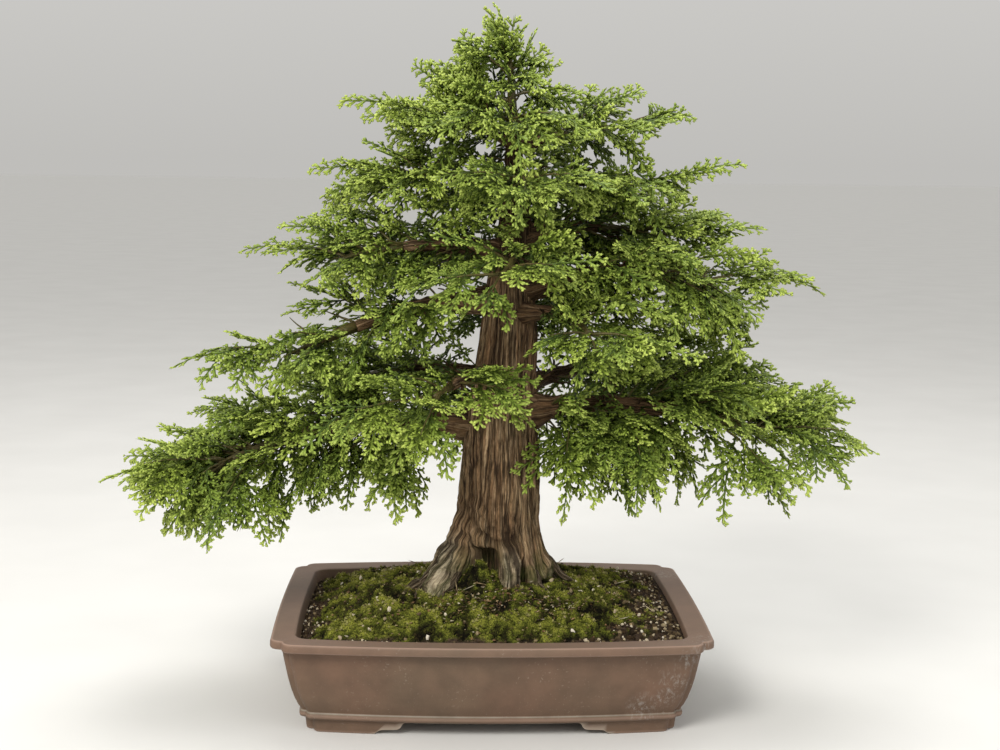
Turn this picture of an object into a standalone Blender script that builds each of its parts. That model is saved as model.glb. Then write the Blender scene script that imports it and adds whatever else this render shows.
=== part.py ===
"""A Lawson cypress bonsai in an unglazed clay pot, at its real size in metres, +Z up.

The pot stands on z = 0, and its middle is at x = y = 0 until the end, when the whole is centred on the origin.
Headings are degrees round the trunk, seen from above: 0 is right, 90 is the back, 180 is left and 270 the front.
"""

import math
import random

import bmesh
import bpy
from mathutils import Matrix, Vector
from mathutils.bvhtree import BVHTree

GAP = 0.0003
UP = Vector((0.0, 0.0, 1.0))

# Pot
POT_LENGTH = 0.400
POT_DEPTH = 0.290
POT_HEIGHT = 0.0912
LONG_SIDE_BOW = 0.013
SHORT_SIDE_BOW = 0.003
CORNER_NOTCH = 0.0125
CORNER_SOFTEN = 0.003
INNER_CORNER = 0.010
SKIRT_HEIGHT = 0.0128
FLOOR_HEIGHT = 0.0235
# Inset from the rim's outline, and height: the outside from under the floor to the rim, then the inside.
OUTER_WALL = [
    (0.0490, SKIRT_HEIGHT),
    (0.0490, 0.0000),
    (0.0306, 0.0000),
    (0.0293, SKIRT_HEIGHT),
    (0.0270, 0.0135),
    (0.0245, 0.0165),
    (0.0253, 0.0205),
    (0.0198, 0.0330),
    (0.0156, 0.0510),
    (0.0100, 0.0828),
    (0.0020, 0.0831),
    (0.0000, 0.0850),
    (0.0005, 0.0898),
    (0.0030, POT_HEIGHT),
]
INNER_WALL = [(0.0210, 0.0909), (0.0225, 0.0892), (0.0400, 0.0300), (0.0480, FLOOR_HEIGHT)]
# Half of the cloud-shaped opening between two feet, as its distance in from the foot, and its height.
FOOT_STEP = [(0.0300, 0.0120), (0.0250, 0.0070), (0.0200, 0.0048), (0.0060, 0.0042), (0.0, 0.0), (-0.002, -0.002)]
LONG_OPENING_HALF = 0.108
SHORT_OPENING_HALF = 0.072
DRAIN_RADIUS = 0.011
DRAIN_SPACING = 0.180

# Plastic screens over the drain holes
SCREEN_SIDE = 0.035
SCREEN_THICK = 0.0012
SCREEN_CELLS = 5

# Soil
SOIL_EDGE_HEIGHT = 0.0845
MOUND_HEIGHT = 0.0320
SOIL_RINGS = (0.92, 0.74, 0.52, 0.34, 0.15)
CUSHION_RELIEF = 0.0022

# Trunk: height, offset to the right, offset to the back, radius
TRUNK = [
    (0.052, 0.006, 0.000, 0.0330),
    (0.075, 0.006, 0.000, 0.0400),
    (0.100, 0.006, 0.000, 0.0420),
    (0.112, 0.006, 0.000, 0.0425),
    (0.122, 0.006, 0.000, 0.0425),
    (0.134, 0.006, 0.000, 0.0420),
    (0.150, 0.006, 0.000, 0.0415),
    (0.167, 0.006, 0.000, 0.0410),
    (0.188, 0.007, 0.000, 0.0402),
    (0.250, 0.009, 0.002, 0.0362),
    (0.300, 0.011, 0.004, 0.0310),
    (0.360, 0.016, 0.004, 0.0265),
    (0.405, 0.017, 0.002, 0.0220),
    (0.450, 0.020, 0.000, 0.0165),
    (0.490, 0.022, 0.000, 0.0120),
    (0.530, 0.018, 0.000, 0.0078),
    (0.566, 0.016, 0.000, 0.0045),
]
TRUNK_SIDES = 18
FLUTE_DEPTH = 0.05
# Surface roots: heading, reach beyond the trunk at the soil, half-width in degrees
ROOTS = [(209, 0.046, 18), (279, 0.020, 12), (318, 0.010, 12), (352, 0.024, 15),
         (52, 0.028, 16), (108, 0.026, 15), (152, 0.022, 14)]
ROOT_TOP = 0.186
ROOT_SURFACE = 0.112
ROOT_RUN = 1.3

# Branches: height on the trunk, heading, reach, rise at the end, radius at the trunk, share of the reach that is
# bare wood, and the leafy shoots, each with its place along the branch, turn from it, length and rise.
BRANCHES = {
    "low_left": (0.262, 184, 0.262, -0.030, 0.0125, 0.80, [
        (1.00, 0, 0.116, -0.002), (0.88, 52, 0.108, -0.052), (0.74, -56, 0.112, 0.018), (0.66, 34, 0.100, 0.026)]),
    "mid_left": (0.386, 190, 0.205, -0.048, 0.0110, 0.72, [
        (1.00, 0, 0.090, 0.004), (0.80, 54, 0.090, -0.026), (0.62, -40, 0.094, 0.028)]),
    "front_left": (0.312, 238, 0.128, -0.004, 0.0085, 0.78, [
        (1.00, -36, 0.104, -0.020), (0.90, 16, 0.080, -0.048), (0.70, 74, 0.100, -0.006)]),
    "upper_left": (0.430, 180, 0.158, -0.004, 0.0090, 0.66, [
        (1.00, 0, 0.078, 0.010), (0.78, 56, 0.080, -0.016), (0.56, -36, 0.090, 0.030)]),
    "front_mid": (0.428, 262, 0.108, -0.010, 0.0070, 0.60, [
        (1.00, -52, 0.082, -0.010), (0.84, 56, 0.086, 0.004), (1.00, 6, 0.060, -0.028)]),
    "high_left": (0.486, 178, 0.092, 0.018, 0.0065, 0.50, [
        (1.00, 0, 0.074, 0.010), (0.66, -46, 0.066, 0.030), (0.76, 56, 0.070, -0.004)]),
    "top_left": (0.534, 176, 0.056, 0.016, 0.0042, 0.45, [
        (1.00, 0, 0.076, 0.026), (0.70, 64, 0.062, 0.010)]),
    "top_right": (0.528, 4, 0.092, 0.020, 0.0048, 0.42, [
        (1.00, 0, 0.072, 0.022), (0.50, 30, 0.066, 0.040), (0.70, -60, 0.070, 0.002)]),
    "high_right": (0.488, 356, 0.108, 0.008, 0.0065, 0.50, [
        (1.00, 0, 0.070, 0.014), (0.62, -56, 0.080, -0.008)]),
    "upper_right": (0.446, 6, 0.140, 0.002, 0.0080, 0.60, [
        (1.00, 0, 0.080, 0.010), (0.70, -52, 0.086, -0.014), (0.52, 34, 0.086, 0.034)]),
    "mid_right": (0.394, 352, 0.188, 0.016, 0.0105, 0.70, [
        (1.00, 0, 0.092, 0.004), (0.78, -48, 0.092, -0.034), (0.60, 44, 0.090, 0.018)]),
    "front_right": (0.372, 302, 0.128, -0.006, 0.0080, 0.62, [
        (1.00, -64, 0.070, -0.002), (1.00, 48, 0.080, -0.008), (0.92, -6, 0.062, -0.032)]),
    "low_right": (0.276, 350, 0.240, -0.006, 0.0125, 0.78, [
        (1.00, 0, 0.122, -0.008), (0.84, -50, 0.110, -0.058), (0.72, 54, 0.114, 0.024), (0.62, -30, 0.104, 0.028)]),
    "back_low_right": (0.294, 38, 0.182, 0.006, 0.0095, 0.56, [
        (1.00, 0, 0.102, -0.012), (0.66, 50, 0.094, -0.004), (0.74, -48, 0.092, 0.008)]),
    "back_low": (0.266, 98, 0.160, -0.014, 0.0095, 0.56, [
        (1.00, 0, 0.102, -0.018), (0.66, 54, 0.094, -0.010), (0.72, -54, 0.094, -0.010)]),
    "back_low_left": (0.306, 146, 0.176, -0.010, 0.0095, 0.56, [
        (1.00, 0, 0.102, -0.014), (0.66, 50, 0.092, 0.004), (0.74, -50, 0.092, -0.010)]),
    "back_mid": (0.366, 78, 0.148, 0.004, 0.0080, 0.54, [
        (1.00, 0, 0.090, -0.010), (0.66, 54, 0.084, -0.004), (0.72, -54, 0.084, 0.004)]),
    "back_mid_left": (0.412, 132, 0.130, 0.002, 0.0075, 0.54, [
        (1.00, 0, 0.086, -0.008), (0.66, 52, 0.078, 0.000), (0.72, -52, 0.078, 0.004)]),
    "back_upper_right": (0.434, 44, 0.114, 0.006, 0.0068, 0.54, [
        (1.00, 0, 0.082, -0.004), (0.66, -50, 0.072, 0.004)]),
    "back_upper": (0.474, 98, 0.096, 0.010, 0.0056, 0.50, [
        (1.00, 0, 0.074, -0.004), (0.66, 54, 0.066, 0.004), (0.72, -54, 0.066, 0.004)]),
    "front_high": (0.492, 272, 0.070, 0.010, 0.0052, 0.52, [
        (1.00, -54, 0.078, 0.004), (0.86, 54, 0.078, 0.002), (1.00, 4, 0.058, -0.014)]),
    "back_high": (0.530, 84, 0.056, 0.014, 0.0040, 0.45, [
        (1.00, 36, 0.064, 0.010), (0.76, -48, 0.062, 0.008)]),
    "front_top": (0.546, 264, 0.044, 0.010, 0.0038, 0.50, [
        (1.00, 40, 0.064, 0.006), (0.84, -56, 0.062, 0.010), (1.00, -8, 0.048, -0.010)]),
}
# More shoots on the bare wood: the branch, then place, turn, length and rise as above.
INNER_SHOOTS = {
    "low_left_front": ("low_left", 0.36, 92, 0.098, -0.050),
    "low_left_back": ("low_left", 0.46, -76, 0.096, 0.004),
    "mid_left_front": ("mid_left", 0.38, 66, 0.076, 0.004),
    "low_right_front": ("low_right", 0.28, -84, 0.108, -0.052),
    "low_right_hanging": ("low_right", 0.52, -78, 0.106, -0.056),
    "mid_right_front": ("mid_right", 0.34, -40, 0.076, 0.014),
}
# The leader's heading, length and rise, and the same for the shoots round it, after their place along it.
LEADER = (190, 0.006, 0.092)
APEX_SHOOTS = [(0.04, 150, 0.060, 0.012), (0.10, 24, 0.058, 0.008), (0.16, 282, 0.056, 0.014), (0.24, 78, 0.052, 0.016),
               (0.30, 188, 0.052, 0.036), (0.36, 340, 0.040, 0.016), (0.42, 248, 0.034, 0.022)]

# Shoots and fronds
STUB_LENGTH = 0.012
THICK_BRANCH = 0.0082
STRAIGHT = 0.003
SHOOT_RADIUS = 0.0022
SHOOT_ARCH = 0.20
STEM_SHARE = 0.56
FROND_THICK = 0.0020
FROND_WIDTH = 0.40
FROND_SAG = 0.12
FROND_CUP = 0.12
# Each frond's place on its shoot, turn, lift and share of the shoot's length. The first is the tip, and a shoot
# shorter than SHORT_SHOOT lacks the last.
FRONDS = [(0.50, 0, 0, 0.54), (0.40, 50, -24, 0.66), (0.30, -52, -20, 0.70), (0.18, 18, 30, 0.66)]
SHORT_SHOOT = 0.0865
FROND_SCATTER = 9
LOBES = 2
CLEARANCE = 0.0008
ROLLS = (0, 12, -12, 24, -24, 38, -38)
LIFTS = (0, -12, 12, -24, 24, -36)
SHRINKS = (1.0, 0.85, 0.7)

COLOURS = {
    "clay": ((0.190, 0.115, 0.088), 0.78),
    "soil": ((0.075, 0.085, 0.022), 0.95),
    "screen": ((0.035, 0.035, 0.035), 0.55),
    "bark": ((0.170, 0.098, 0.060), 0.88),
    "foliage": ((0.150, 0.300, 0.050), 0.60),
}


def clear_scene():
    for obj in list(bpy.data.objects):
        bpy.data.objects.remove(obj)


def new_collection(name):
    collection = bpy.data.collections.new(name)
    bpy.context.scene.collection.children.link(collection)
    return collection


def finish(name):
    """The material of that name, made when it is first asked for."""
    found = bpy.data.materials.get(name)
    if found:
        return found
    colour, roughness = COLOURS[name]
    made = bpy.data.materials.new(name)
    made.use_nodes = True
    shader = made.node_tree.nodes["Principled BSDF"]
    shader.inputs["Base Color"].default_value = (*colour, 1.0)
    shader.inputs["Roughness"].default_value = roughness
    shader.inputs["Metallic"].default_value = 0.0
    return made


def add_mesh(name, mesh, collection):
    obj = bpy.data.objects.new(name, mesh)
    collection.objects.link(obj)
    return obj


def mesh_of(points, faces, name):
    """A mesh of these points and faces, with its faces turned outwards."""
    bm = bmesh.new()
    corners = [bm.verts.new(p) for p in points]
    for face in faces:
        bm.faces.new([corners[i] for i in face])
    bmesh.ops.recalc_face_normals(bm, faces=bm.faces)
    mesh = bpy.data.meshes.new(name)
    bm.to_mesh(mesh)
    bm.free()
    return mesh


def loft(rings, name):
    """A closed mesh through rings of equally many points, with a face across each end."""
    count = len(rings[0])
    points = [p for ring in rings for p in ring]
    faces = [tuple(range(count)), tuple(range(len(points) - count, len(points)))]
    for level in range(len(rings) - 1):
        for i in range(count):
            j = (i + 1) % count
            low, high = level * count, (level + 1) * count
            faces += [(low + i, low + j, high + j), (low + i, high + j, high + i)]
    return mesh_of(points, faces, name)


def applied(obj):
    """A new mesh of the object with its modifiers applied."""
    graph = bpy.context.evaluated_depsgraph_get()
    return bpy.data.meshes.new_from_object(obj.evaluated_get(graph))


def tube(points, radii, extra_sides=0):
    """A tapered tube along the points, from a bevelled curve with its caps welded."""
    curve = bpy.data.curves.new("tube", "CURVE")
    curve.dimensions = "3D"
    curve.bevel_depth = max(radii)
    curve.bevel_resolution = extra_sides
    curve.use_fill_caps = True
    spline = curve.splines.new("POLY")
    spline.points.add(len(points) - 1)
    for spot, point, radius in zip(spline.points, points, radii):
        spot.co = (*point, 1.0)
        spot.radius = radius / max(radii)
    obj = add_mesh("tube", curve, TREE)
    mesh = applied(obj)
    bpy.data.objects.remove(obj)
    bm = bmesh.new()
    bm.from_mesh(mesh)
    bmesh.ops.remove_doubles(bm, verts=bm.verts, dist=0.00001)
    bmesh.ops.recalc_face_normals(bm, faces=bm.faces)
    bm.to_mesh(mesh)
    bm.free()
    return mesh


def cut(obj, meshes):
    """Takes each of the meshes out of the object."""
    for mesh in meshes:
        cutter = add_mesh(obj.name + "_cutter", mesh, CUTTERS)
        cutter.hide_render = True
        cutter.display_type = "WIRE"
        modifier = obj.modifiers.new("cut", "BOOLEAN")
        modifier.operation = "DIFFERENCE"
        modifier.object = cutter


def outer_shell(mesh):
    """Keeps the mesh's largest shell, which fills any hollow that was sealed and drops loose scraps."""
    bm = bmesh.new()
    bm.from_mesh(mesh)
    unseen, shells = set(bm.verts), []
    while unseen:
        shell = [unseen.pop()]
        for vert in shell:
            beside = {edge.other_vert(vert) for edge in vert.link_edges} & unseen
            unseen -= beside
            shell.extend(beside)
        shells.append(shell)
    shells.sort(key=lambda shell: max(v.co.x for v in shell) - min(v.co.x for v in shell), reverse=True)
    spare = [vert for shell in shells[1:] for vert in shell]
    bmesh.ops.delete(bm, geom=spare, context="VERTS")
    bm.to_mesh(mesh)
    bm.free()


def union_of(name, meshes, material):
    """One object from overlapping closed meshes, joined by one union."""
    whole = add_mesh(name, meshes[0], TREE)
    pieces = new_collection("pieces")
    for mesh in meshes[1:]:
        add_mesh("piece", mesh, pieces)
    union = whole.modifiers.new("union", "BOOLEAN")
    union.operation = "UNION"
    union.solver = "MANIFOLD"
    union.operand_type = "COLLECTION"
    union.collection = pieces
    whole.data = applied(whole)
    whole.modifiers.clear()
    outer_shell(whole.data)
    for piece in list(pieces.objects):
        bpy.data.objects.remove(piece)
    bpy.data.collections.remove(pieces)
    whole.data.materials.clear()
    whole.data.materials.append(finish(material))
    return whole


def smooth_round(obj, degrees=35):
    obj.data.shade_smooth()
    obj.data.set_sharp_from_angle(angle=math.radians(degrees))


def corner_points(half_x, half_y, notched):
    """One corner of the pot's plan: an indented corner outside, a plain round one inside."""
    if notched:
        deep_x, deep_y = half_x - CORNER_NOTCH, half_y - CORNER_NOTCH
        return [(half_x, deep_y - CORNER_SOFTEN), (half_x - CORNER_SOFTEN, deep_y), (deep_x, deep_y),
                (deep_x, half_y - CORNER_SOFTEN), (deep_x - CORNER_SOFTEN, half_y)]
    turns = [math.radians(22.5 * i) for i in range(5)]
    return [(half_x - INNER_CORNER * (1 - math.cos(a)), half_y - INNER_CORNER * (1 - math.sin(a))) for a in turns]


def plan(inset, height, notched=False):
    """The pot's outline at an inset and height, bowed along each side."""
    half_x, half_y = POT_LENGTH / 2 - inset, POT_DEPTH / 2 - inset
    quarter = [(half_x, 0.0), *corner_points(half_x, half_y, notched), (half_x / 2, half_y)]
    half = quarter + [(0.0, half_y)] + [(-x, y) for x, y in reversed(quarter)]
    outline = half + [(x, -y) for x, y in reversed(half[1:-1])]
    ring = []
    for x, y in outline:
        if abs(y) > half_y / 2:
            y += math.copysign(LONG_SIDE_BOW * (1 - (x / half_x) ** 2), y)
        if abs(x) > half_x / 2:
            x += math.copysign(SHORT_SIDE_BOW * max(0.0, 1 - (y / half_y) ** 2), x)
        ring.append(Vector((x, y, height)))
    return ring


def foot_opening(half_width, heading, reach):
    """The opening between feet on opposite sides, cut right across under the pot."""
    right = [(half_width - run, height) for run, height in FOOT_STEP]
    outline = right + [(-x, z) for x, z in reversed(right)]
    turn = Matrix.Rotation(math.radians(heading), 3, "Z")
    return loft([[turn @ Vector((x, y, z)) for x, z in outline] for y in (-reach, reach)], "opening")


def drain_hole(x):
    bm = bmesh.new()
    bmesh.ops.create_cone(bm, cap_ends=True, segments=16, radius1=DRAIN_RADIUS, radius2=DRAIN_RADIUS, depth=0.040)
    bmesh.ops.translate(bm, verts=bm.verts, vec=(x, 0, FLOOR_HEIGHT - 0.005))
    mesh = bpy.data.meshes.new("drain")
    bm.to_mesh(mesh)
    bm.free()
    return mesh


def make_pot():
    rings = [plan(inset, height, True) for inset, height in OUTER_WALL]
    rings += [plan(inset, height) for inset, height in INNER_WALL]
    pot = add_mesh("pot", loft(rings, "pot"), TREE)
    openings = [foot_opening(LONG_OPENING_HALF, 0, POT_DEPTH), foot_opening(SHORT_OPENING_HALF, 90, POT_LENGTH)]
    cut(pot, openings + [drain_hole(-DRAIN_SPACING / 2), drain_hole(DRAIN_SPACING / 2)])
    pot.data.materials.append(finish("clay"))
    smooth_round(pot)
    return pot


def make_screen(name, x):
    """A square plastic grid over a drain hole, lying on the pot's floor."""
    bm = bmesh.new()
    bmesh.ops.create_grid(bm, x_segments=SCREEN_CELLS, y_segments=SCREEN_CELLS, size=SCREEN_SIDE / 2)
    cell = SCREEN_SIDE / SCREEN_CELLS
    middle = SCREEN_SIDE / 2
    holes = [face for face in bm.faces if int((face.calc_center_median().x + middle) / cell) % 2
             and int((face.calc_center_median().y + middle) / cell) % 2]
    bmesh.ops.delete(bm, geom=holes, context="FACES")
    bmesh.ops.translate(bm, verts=bm.verts, vec=(x, 0, FLOOR_HEIGHT + GAP))
    mesh = bpy.data.meshes.new(name)
    bm.to_mesh(mesh)
    bm.free()
    screen = add_mesh(name, mesh, TREE)
    thickness = screen.modifiers.new("thickness", "SOLIDIFY")
    thickness.thickness = SCREEN_THICK
    thickness.offset = 1.0
    screen.data.materials.append(finish("screen"))


def screen_pocket(x):
    """The hollow in the soil that a screen lies in."""
    side, height = SCREEN_SIDE + 4 * GAP, 2 * SCREEN_THICK + 6 * GAP
    bm = bmesh.new()
    place = Matrix.Translation((x, 0, FLOOR_HEIGHT)) @ Matrix.Diagonal((side, side, height, 1.0))
    bmesh.ops.create_cube(bm, size=1.0, matrix=place)
    mesh = bpy.data.meshes.new("pocket")
    bm.to_mesh(mesh)
    bm.free()
    return mesh


def mound_ring(edge, share):
    """The soil's surface at a share of the way from the middle to its edge, rounder towards the middle."""
    half_x, half_y = max(p.x for p in edge), max(p.y for p in edge)
    ring = []
    for p in edge:
        angle = math.atan2(p.y / half_y, p.x / half_x)
        oval = Vector((half_x * math.cos(angle), half_y * math.sin(angle), 0.0))
        x, y, _ = p.lerp(oval, 1 - share) * share
        cushions = math.sin(x * 95 + 1.3) * math.sin(y * 110 + 0.4) + 0.6 * math.sin(x * 210 + y * 170)
        rise = MOUND_HEIGHT * (1 - share ** 2) + CUSHION_RELIEF * cushions * (1 - share ** 4)
        ring.append(Vector((x, y, SOIL_EDGE_HEIGHT + rise)))
    return ring


def make_soil():
    """The soil fills the pot and rises to a mound, with plain hollows for the trunk's root and the screens."""
    _, (top_inset, top), (low_inset, low), (floor_inset, floor) = INNER_WALL
    edge_inset = top_inset + (low_inset - top_inset) * (top - SOIL_EDGE_HEIGHT) / (top - low)
    edge = plan(edge_inset + 2 * GAP, SOIL_EDGE_HEIGHT)
    rings = [plan(floor_inset + 3 * GAP, floor + GAP), plan(low_inset + 2 * GAP, low + 2 * GAP), edge]
    rings += [mound_ring(edge, share) for share in SOIL_RINGS]
    soil = add_mesh("soil", loft(rings, "soil"), TREE)
    pockets = [screen_pocket(-DRAIN_SPACING / 2), screen_pocket(DRAIN_SPACING / 2)]
    cut(soil, [trunk_mesh(grow=1.5 * GAP, top=0.151), *pockets])
    soil.data.materials.append(finish("soil"))
    smooth_round(soil, 60)
    return soil


def trunk_centre(height):
    """The middle of the trunk at a height."""
    for low, high in zip(TRUNK, TRUNK[1:]):
        if height <= high[0]:
            share = (height - low[0]) / (high[0] - low[0])
            return Vector((low[1] + (high[1] - low[1]) * share, low[2] + (high[2] - low[2]) * share, height))
    return Vector((TRUNK[-1][1], TRUNK[-1][2], height))


def root_flare(heading, height):
    """How far the surface roots stand out from the trunk, at a heading and height."""
    rise = min(1.0, max(0.0, (ROOT_TOP - height) / (ROOT_TOP - ROOT_SURFACE)))
    buried = max(0.0, (ROOT_SURFACE - height) / ROOT_SURFACE)
    total = 0.0
    for where, reach, half_width in ROOTS:
        apart = (heading - where + 180) % 360 - 180
        total += reach * math.exp(-((apart / half_width) ** 2))
    return total * rise ** ROOT_RUN * max(0.0, 1 - 1.8 * buried)


def trunk_mesh(grow=0.0, top=1.0):
    """The trunk from its buried root to its leader, with its surface roots and shallow flutes."""
    rings = []
    for height, x, y, radius in TRUNK:
        if height > top:
            break
        ring = []
        for i in range(TRUNK_SIDES):
            heading = 360 * i / TRUNK_SIDES
            flute = FLUTE_DEPTH * radius * math.sin(5 * math.radians(heading) + 9 * height)
            out = radius + flute + root_flare(heading, height) + grow
            low = height - 2 * grow if not rings else height
            ring.append(Vector((x, y, low)) + ahead_of(heading) * out)
        rings.append(ring)
    return loft(rings, "trunk")


def ahead_of(heading):
    """The level direction with that heading."""
    return Vector((math.cos(math.radians(heading)), math.sin(math.radians(heading)), 0.0))


class Branch:
    """A branch's axis, and how thick it is along it."""

    def __init__(self, name):
        self.name = name
        self.height, self.heading, self.reach, self.rise, self.radius, self.bare, self.shoots = BRANCHES[name]
        self.bend = 7 * math.sin(self.height * 90)

    def point(self, share):
        ahead = ahead_of(self.heading + self.bend * math.sin(math.pi * share))
        lift = self.rise * share + 0.07 * self.reach * math.sin(math.pi * share)
        return trunk_centre(self.height) + ahead * self.reach * share + UP * lift

    def tangent(self, share):
        return (self.point(share + 0.01) - self.point(share - 0.01)).normalized()

    def heading_at(self, share):
        tangent = self.tangent(share)
        return math.degrees(math.atan2(tangent.y, tangent.x))

    def thickness(self, share):
        return self.radius * (1 - 0.66 * share)

    def shoot(self, place, turn, length, rise):
        return Shoot(self.point(place), self.heading_at(place) + turn, length, rise)


class Shoot:
    """A leafy shoot: where it starts, which way it heads, how long it is and how much it rises."""

    def __init__(self, start, heading, length, rise):
        self.start, self.heading, self.length, self.rise = start, heading, length, rise
        self.size = math.hypot(length, rise)

    def point(self, share):
        arch = SHOOT_ARCH * self.length * share * (1 - share)
        return self.start + ahead_of(self.heading) * self.length * share + UP * (self.rise * share + arch)

    def tangent(self, share):
        slope = self.rise + SHOOT_ARCH * self.length * (1 - 2 * share)
        return (ahead_of(self.heading) * self.length + UP * slope).normalized()

    def stub(self):
        """The short bare peg on a branch that the shoot grows from."""
        ahead = self.tangent(0.0)
        return tube([self.start, self.start + ahead * STUB_LENGTH], [SHOOT_RADIUS * 1.3] * 2)

    def stem(self, on_stub=False):
        points = [self.start, self.point(STEM_SHARE / 2), self.point(STEM_SHARE)]
        if on_stub:
            butt = self.start + self.tangent(0.0) * (STUB_LENGTH + GAP)
            points[:1] = [butt, butt + self.tangent(0.0) * STRAIGHT]
        radii = [SHOOT_RADIUS * (1 - 0.5 * i / (len(points) - 1)) for i in range(len(points))]
        return tube(points, radii)

    def fronds(self, draw):
        """Root, direction, roll and length of each frond."""
        found = []
        for share, turn, lift, size in FRONDS[:3] if self.size < SHORT_SHOOT else FRONDS:
            turn, lift = (angle + draw.uniform(-FROND_SCATTER, FROND_SCATTER) for angle in (turn, lift))
            ahead = Matrix.Rotation(math.radians(turn), 3, "Z") @ self.tangent(share + 0.2)
            ahead = Matrix.Rotation(math.radians(lift), 3, ahead.cross(UP)) @ ahead
            found.append((self.point(share), ahead, draw.uniform(-26, 26), self.size * size))
        return found


def frond(root, ahead, roll, length, swell=0.0):
    """Points and faces of a flat spray: an arched blade, thick at its rib and cut into lobes on both edges."""
    side = Matrix.Rotation(math.radians(roll), 3, ahead) @ ahead.cross(UP).normalized()
    over = side.cross(ahead).normalized()
    half_width = FROND_WIDTH * length + swell

    def at(along, across, above=0.0):
        droop = FROND_SAG * length * along ** 2 + FROND_CUP * half_width * across ** 2
        return root + ahead * (length + swell) * along + side * half_width * across + over * (above - droop)

    ribs = [(i + 1) / (LOBES + 0.8) for i in range(LOBES)]
    points = [at(0.0, 0, -swell), at(1.0, 0)]
    points += [at(along, 0, (FROND_THICK + 2 * swell) * (1 - 0.4 * along)) for along in ribs]
    for i, along in enumerate(ribs):
        spread = 1.0 - 0.45 * abs(i - 0.8)
        for hand in (-1, 1):
            points += [at(along + 0.04, hand * spread, -swell), at(along + 0.04, hand * 0.16, -swell)]
    faces = []
    for i in range(LOBES):
        tip = 2 + LOBES + 4 * i
        for hand in (0, 2):
            outer, valley = tip + hand, tip + hand + 1
            before = valley - 4 if i else 0
            faces += [(2 + i, outer, valley), (before, outer, 1 + i if i else 2), (before, outer, valley)]
            if i:
                faces.append((1 + i, outer, 2 + i))
            if i == LOBES - 1:
                faces.append((2 + i, valley, 1))
        if i:
            faces += [(tip - 3, tip - 1, tip + 1), (tip - 1, tip + 3, tip + 1)]
        else:
            faces.append((0, tip + 1, tip + 3))
    faces.append((tip + 1, tip + 3, 1))
    return points, faces


class Crowd:
    """What has been placed so far, so that what would cross it is bent clear."""

    def __init__(self):
        self.placed = []

    def add(self, owner, points, faces):
        middle = sum(points, Vector()) / len(points)
        reach = max((p - middle).length for p in points)
        self.placed.append((owner, middle, reach, BVHTree.FromPolygons(points, faces)))

    def add_mesh(self, owner, mesh):
        self.add(owner, [v.co.copy() for v in mesh.vertices], [tuple(p.vertices) for p in mesh.polygons])

    def crossed(self, points, faces, owner, own_too):
        """Whether the shape meets another node, or its own node's fronds where own_too is set."""
        middle = sum(points, Vector()) / len(points)
        reach = max((p - middle).length for p in points)
        tree = BVHTree.FromPolygons(points, faces)
        for other, centre, radius, placed in self.placed:
            if (other == owner + " stem") or (other == owner and not own_too):
                continue
            if (middle - centre).length < reach + radius and tree.overlap(placed):
                return True
        return False


def clear_frond(crowd, owner, root, ahead, roll, length):
    """The frond, rolled, lifted or shortened until it is clear of what is already placed."""
    across = ahead.cross(UP).normalized()
    for own_too in (True, False):
        for shrink in SHRINKS:
            for lift in LIFTS:
                bent = Matrix.Rotation(math.radians(lift), 3, across) @ ahead
                for more in ROLLS:
                    wide = frond(root, bent, roll + more, length * shrink, CLEARANCE)
                    if not crowd.crossed(*wide, owner, own_too):
                        return frond(root, bent, roll + more, length * shrink)
    return None


def branch_tube(branch):
    """The bare wood of a branch, from the trunk's middle to the flat end that its leafy end butts on."""
    shares = [branch.bare * i / 3 for i in range(3)]
    end = branch.point(branch.bare)
    before = end - branch.tangent(branch.bare) * STRAIGHT
    radii = [branch.thickness(s) for s in shares] + [branch.thickness(branch.bare)] * 2
    return tube([*[branch.point(s) for s in shares], before, end], radii, 1 if branch.radius > THICK_BRANCH else 0)


def leafy_end(branch):
    """The stems and shoots of a branch's leafy end."""
    shoots = [spec for spec in branch.shoots if spec[0] >= branch.bare]
    far = max(place for place, *_ in shoots)
    ahead = branch.tangent(branch.bare)
    butt = branch.point(branch.bare) + ahead * GAP
    points = [butt, butt + ahead * STRAIGHT, branch.point((branch.bare + far) / 2), branch.point(far)]
    start = branch.thickness(branch.bare)
    stems = [tube(points, [start, start, max(SHOOT_RADIUS, start * 0.8), max(SHOOT_RADIUS, start * 0.6)])]
    shoots = [branch.shoot(*spec) for spec in shoots]
    return stems + [shoot.stem() for shoot in shoots], shoots


def spurs_of(branch):
    """The name and shoot of each leafy spur on the branch's bare wood."""
    found = [spec for spec in branch.shoots if spec[0] < branch.bare]
    spurs = [(f"{branch.name}_spur_{i + 1}", branch.shoot(*spec)) for i, spec in enumerate(found)]
    return spurs + [(name, branch.shoot(*spec[1:])) for name, spec in INNER_SHOOTS.items() if spec[0] == branch.name]


def apex():
    """The stems and shoots of the leader and the shoots round it."""
    height, x, y, radius = TRUNK[-1]
    base = Vector((x, y, height + GAP))
    leader = Shoot(base + UP * STRAIGHT, *LEADER)
    points = [base, leader.start, leader.point(0.3), leader.point(STEM_SHARE)]
    stems = [tube(points, [radius, radius, radius * 0.7, 0.0015])]
    shoots = [leader] + [Shoot(leader.point(place), *spec) for place, *spec in APEX_SHOOTS]
    return stems + [shoot.stem() for shoot in shoots[1:]], shoots


def centre_on_origin():
    """Moves everything so that the origin lies on the ground under the middle of the whole."""
    spots = [vert.co.copy() for obj in TREE.objects for vert in applied(obj).vertices]
    middle_x, middle_y = ((min(axis) + max(axis)) / 2 for axis in list(zip(*spots))[:2])
    for obj in [*TREE.objects, *CUTTERS.objects]:
        obj.data.transform(Matrix.Translation((-middle_x, -middle_y, 0.0)))
        obj.data.update()


clear_scene()
TREE = new_collection("lawson_cypress_bonsai")
CUTTERS = new_collection("cutters")

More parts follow.
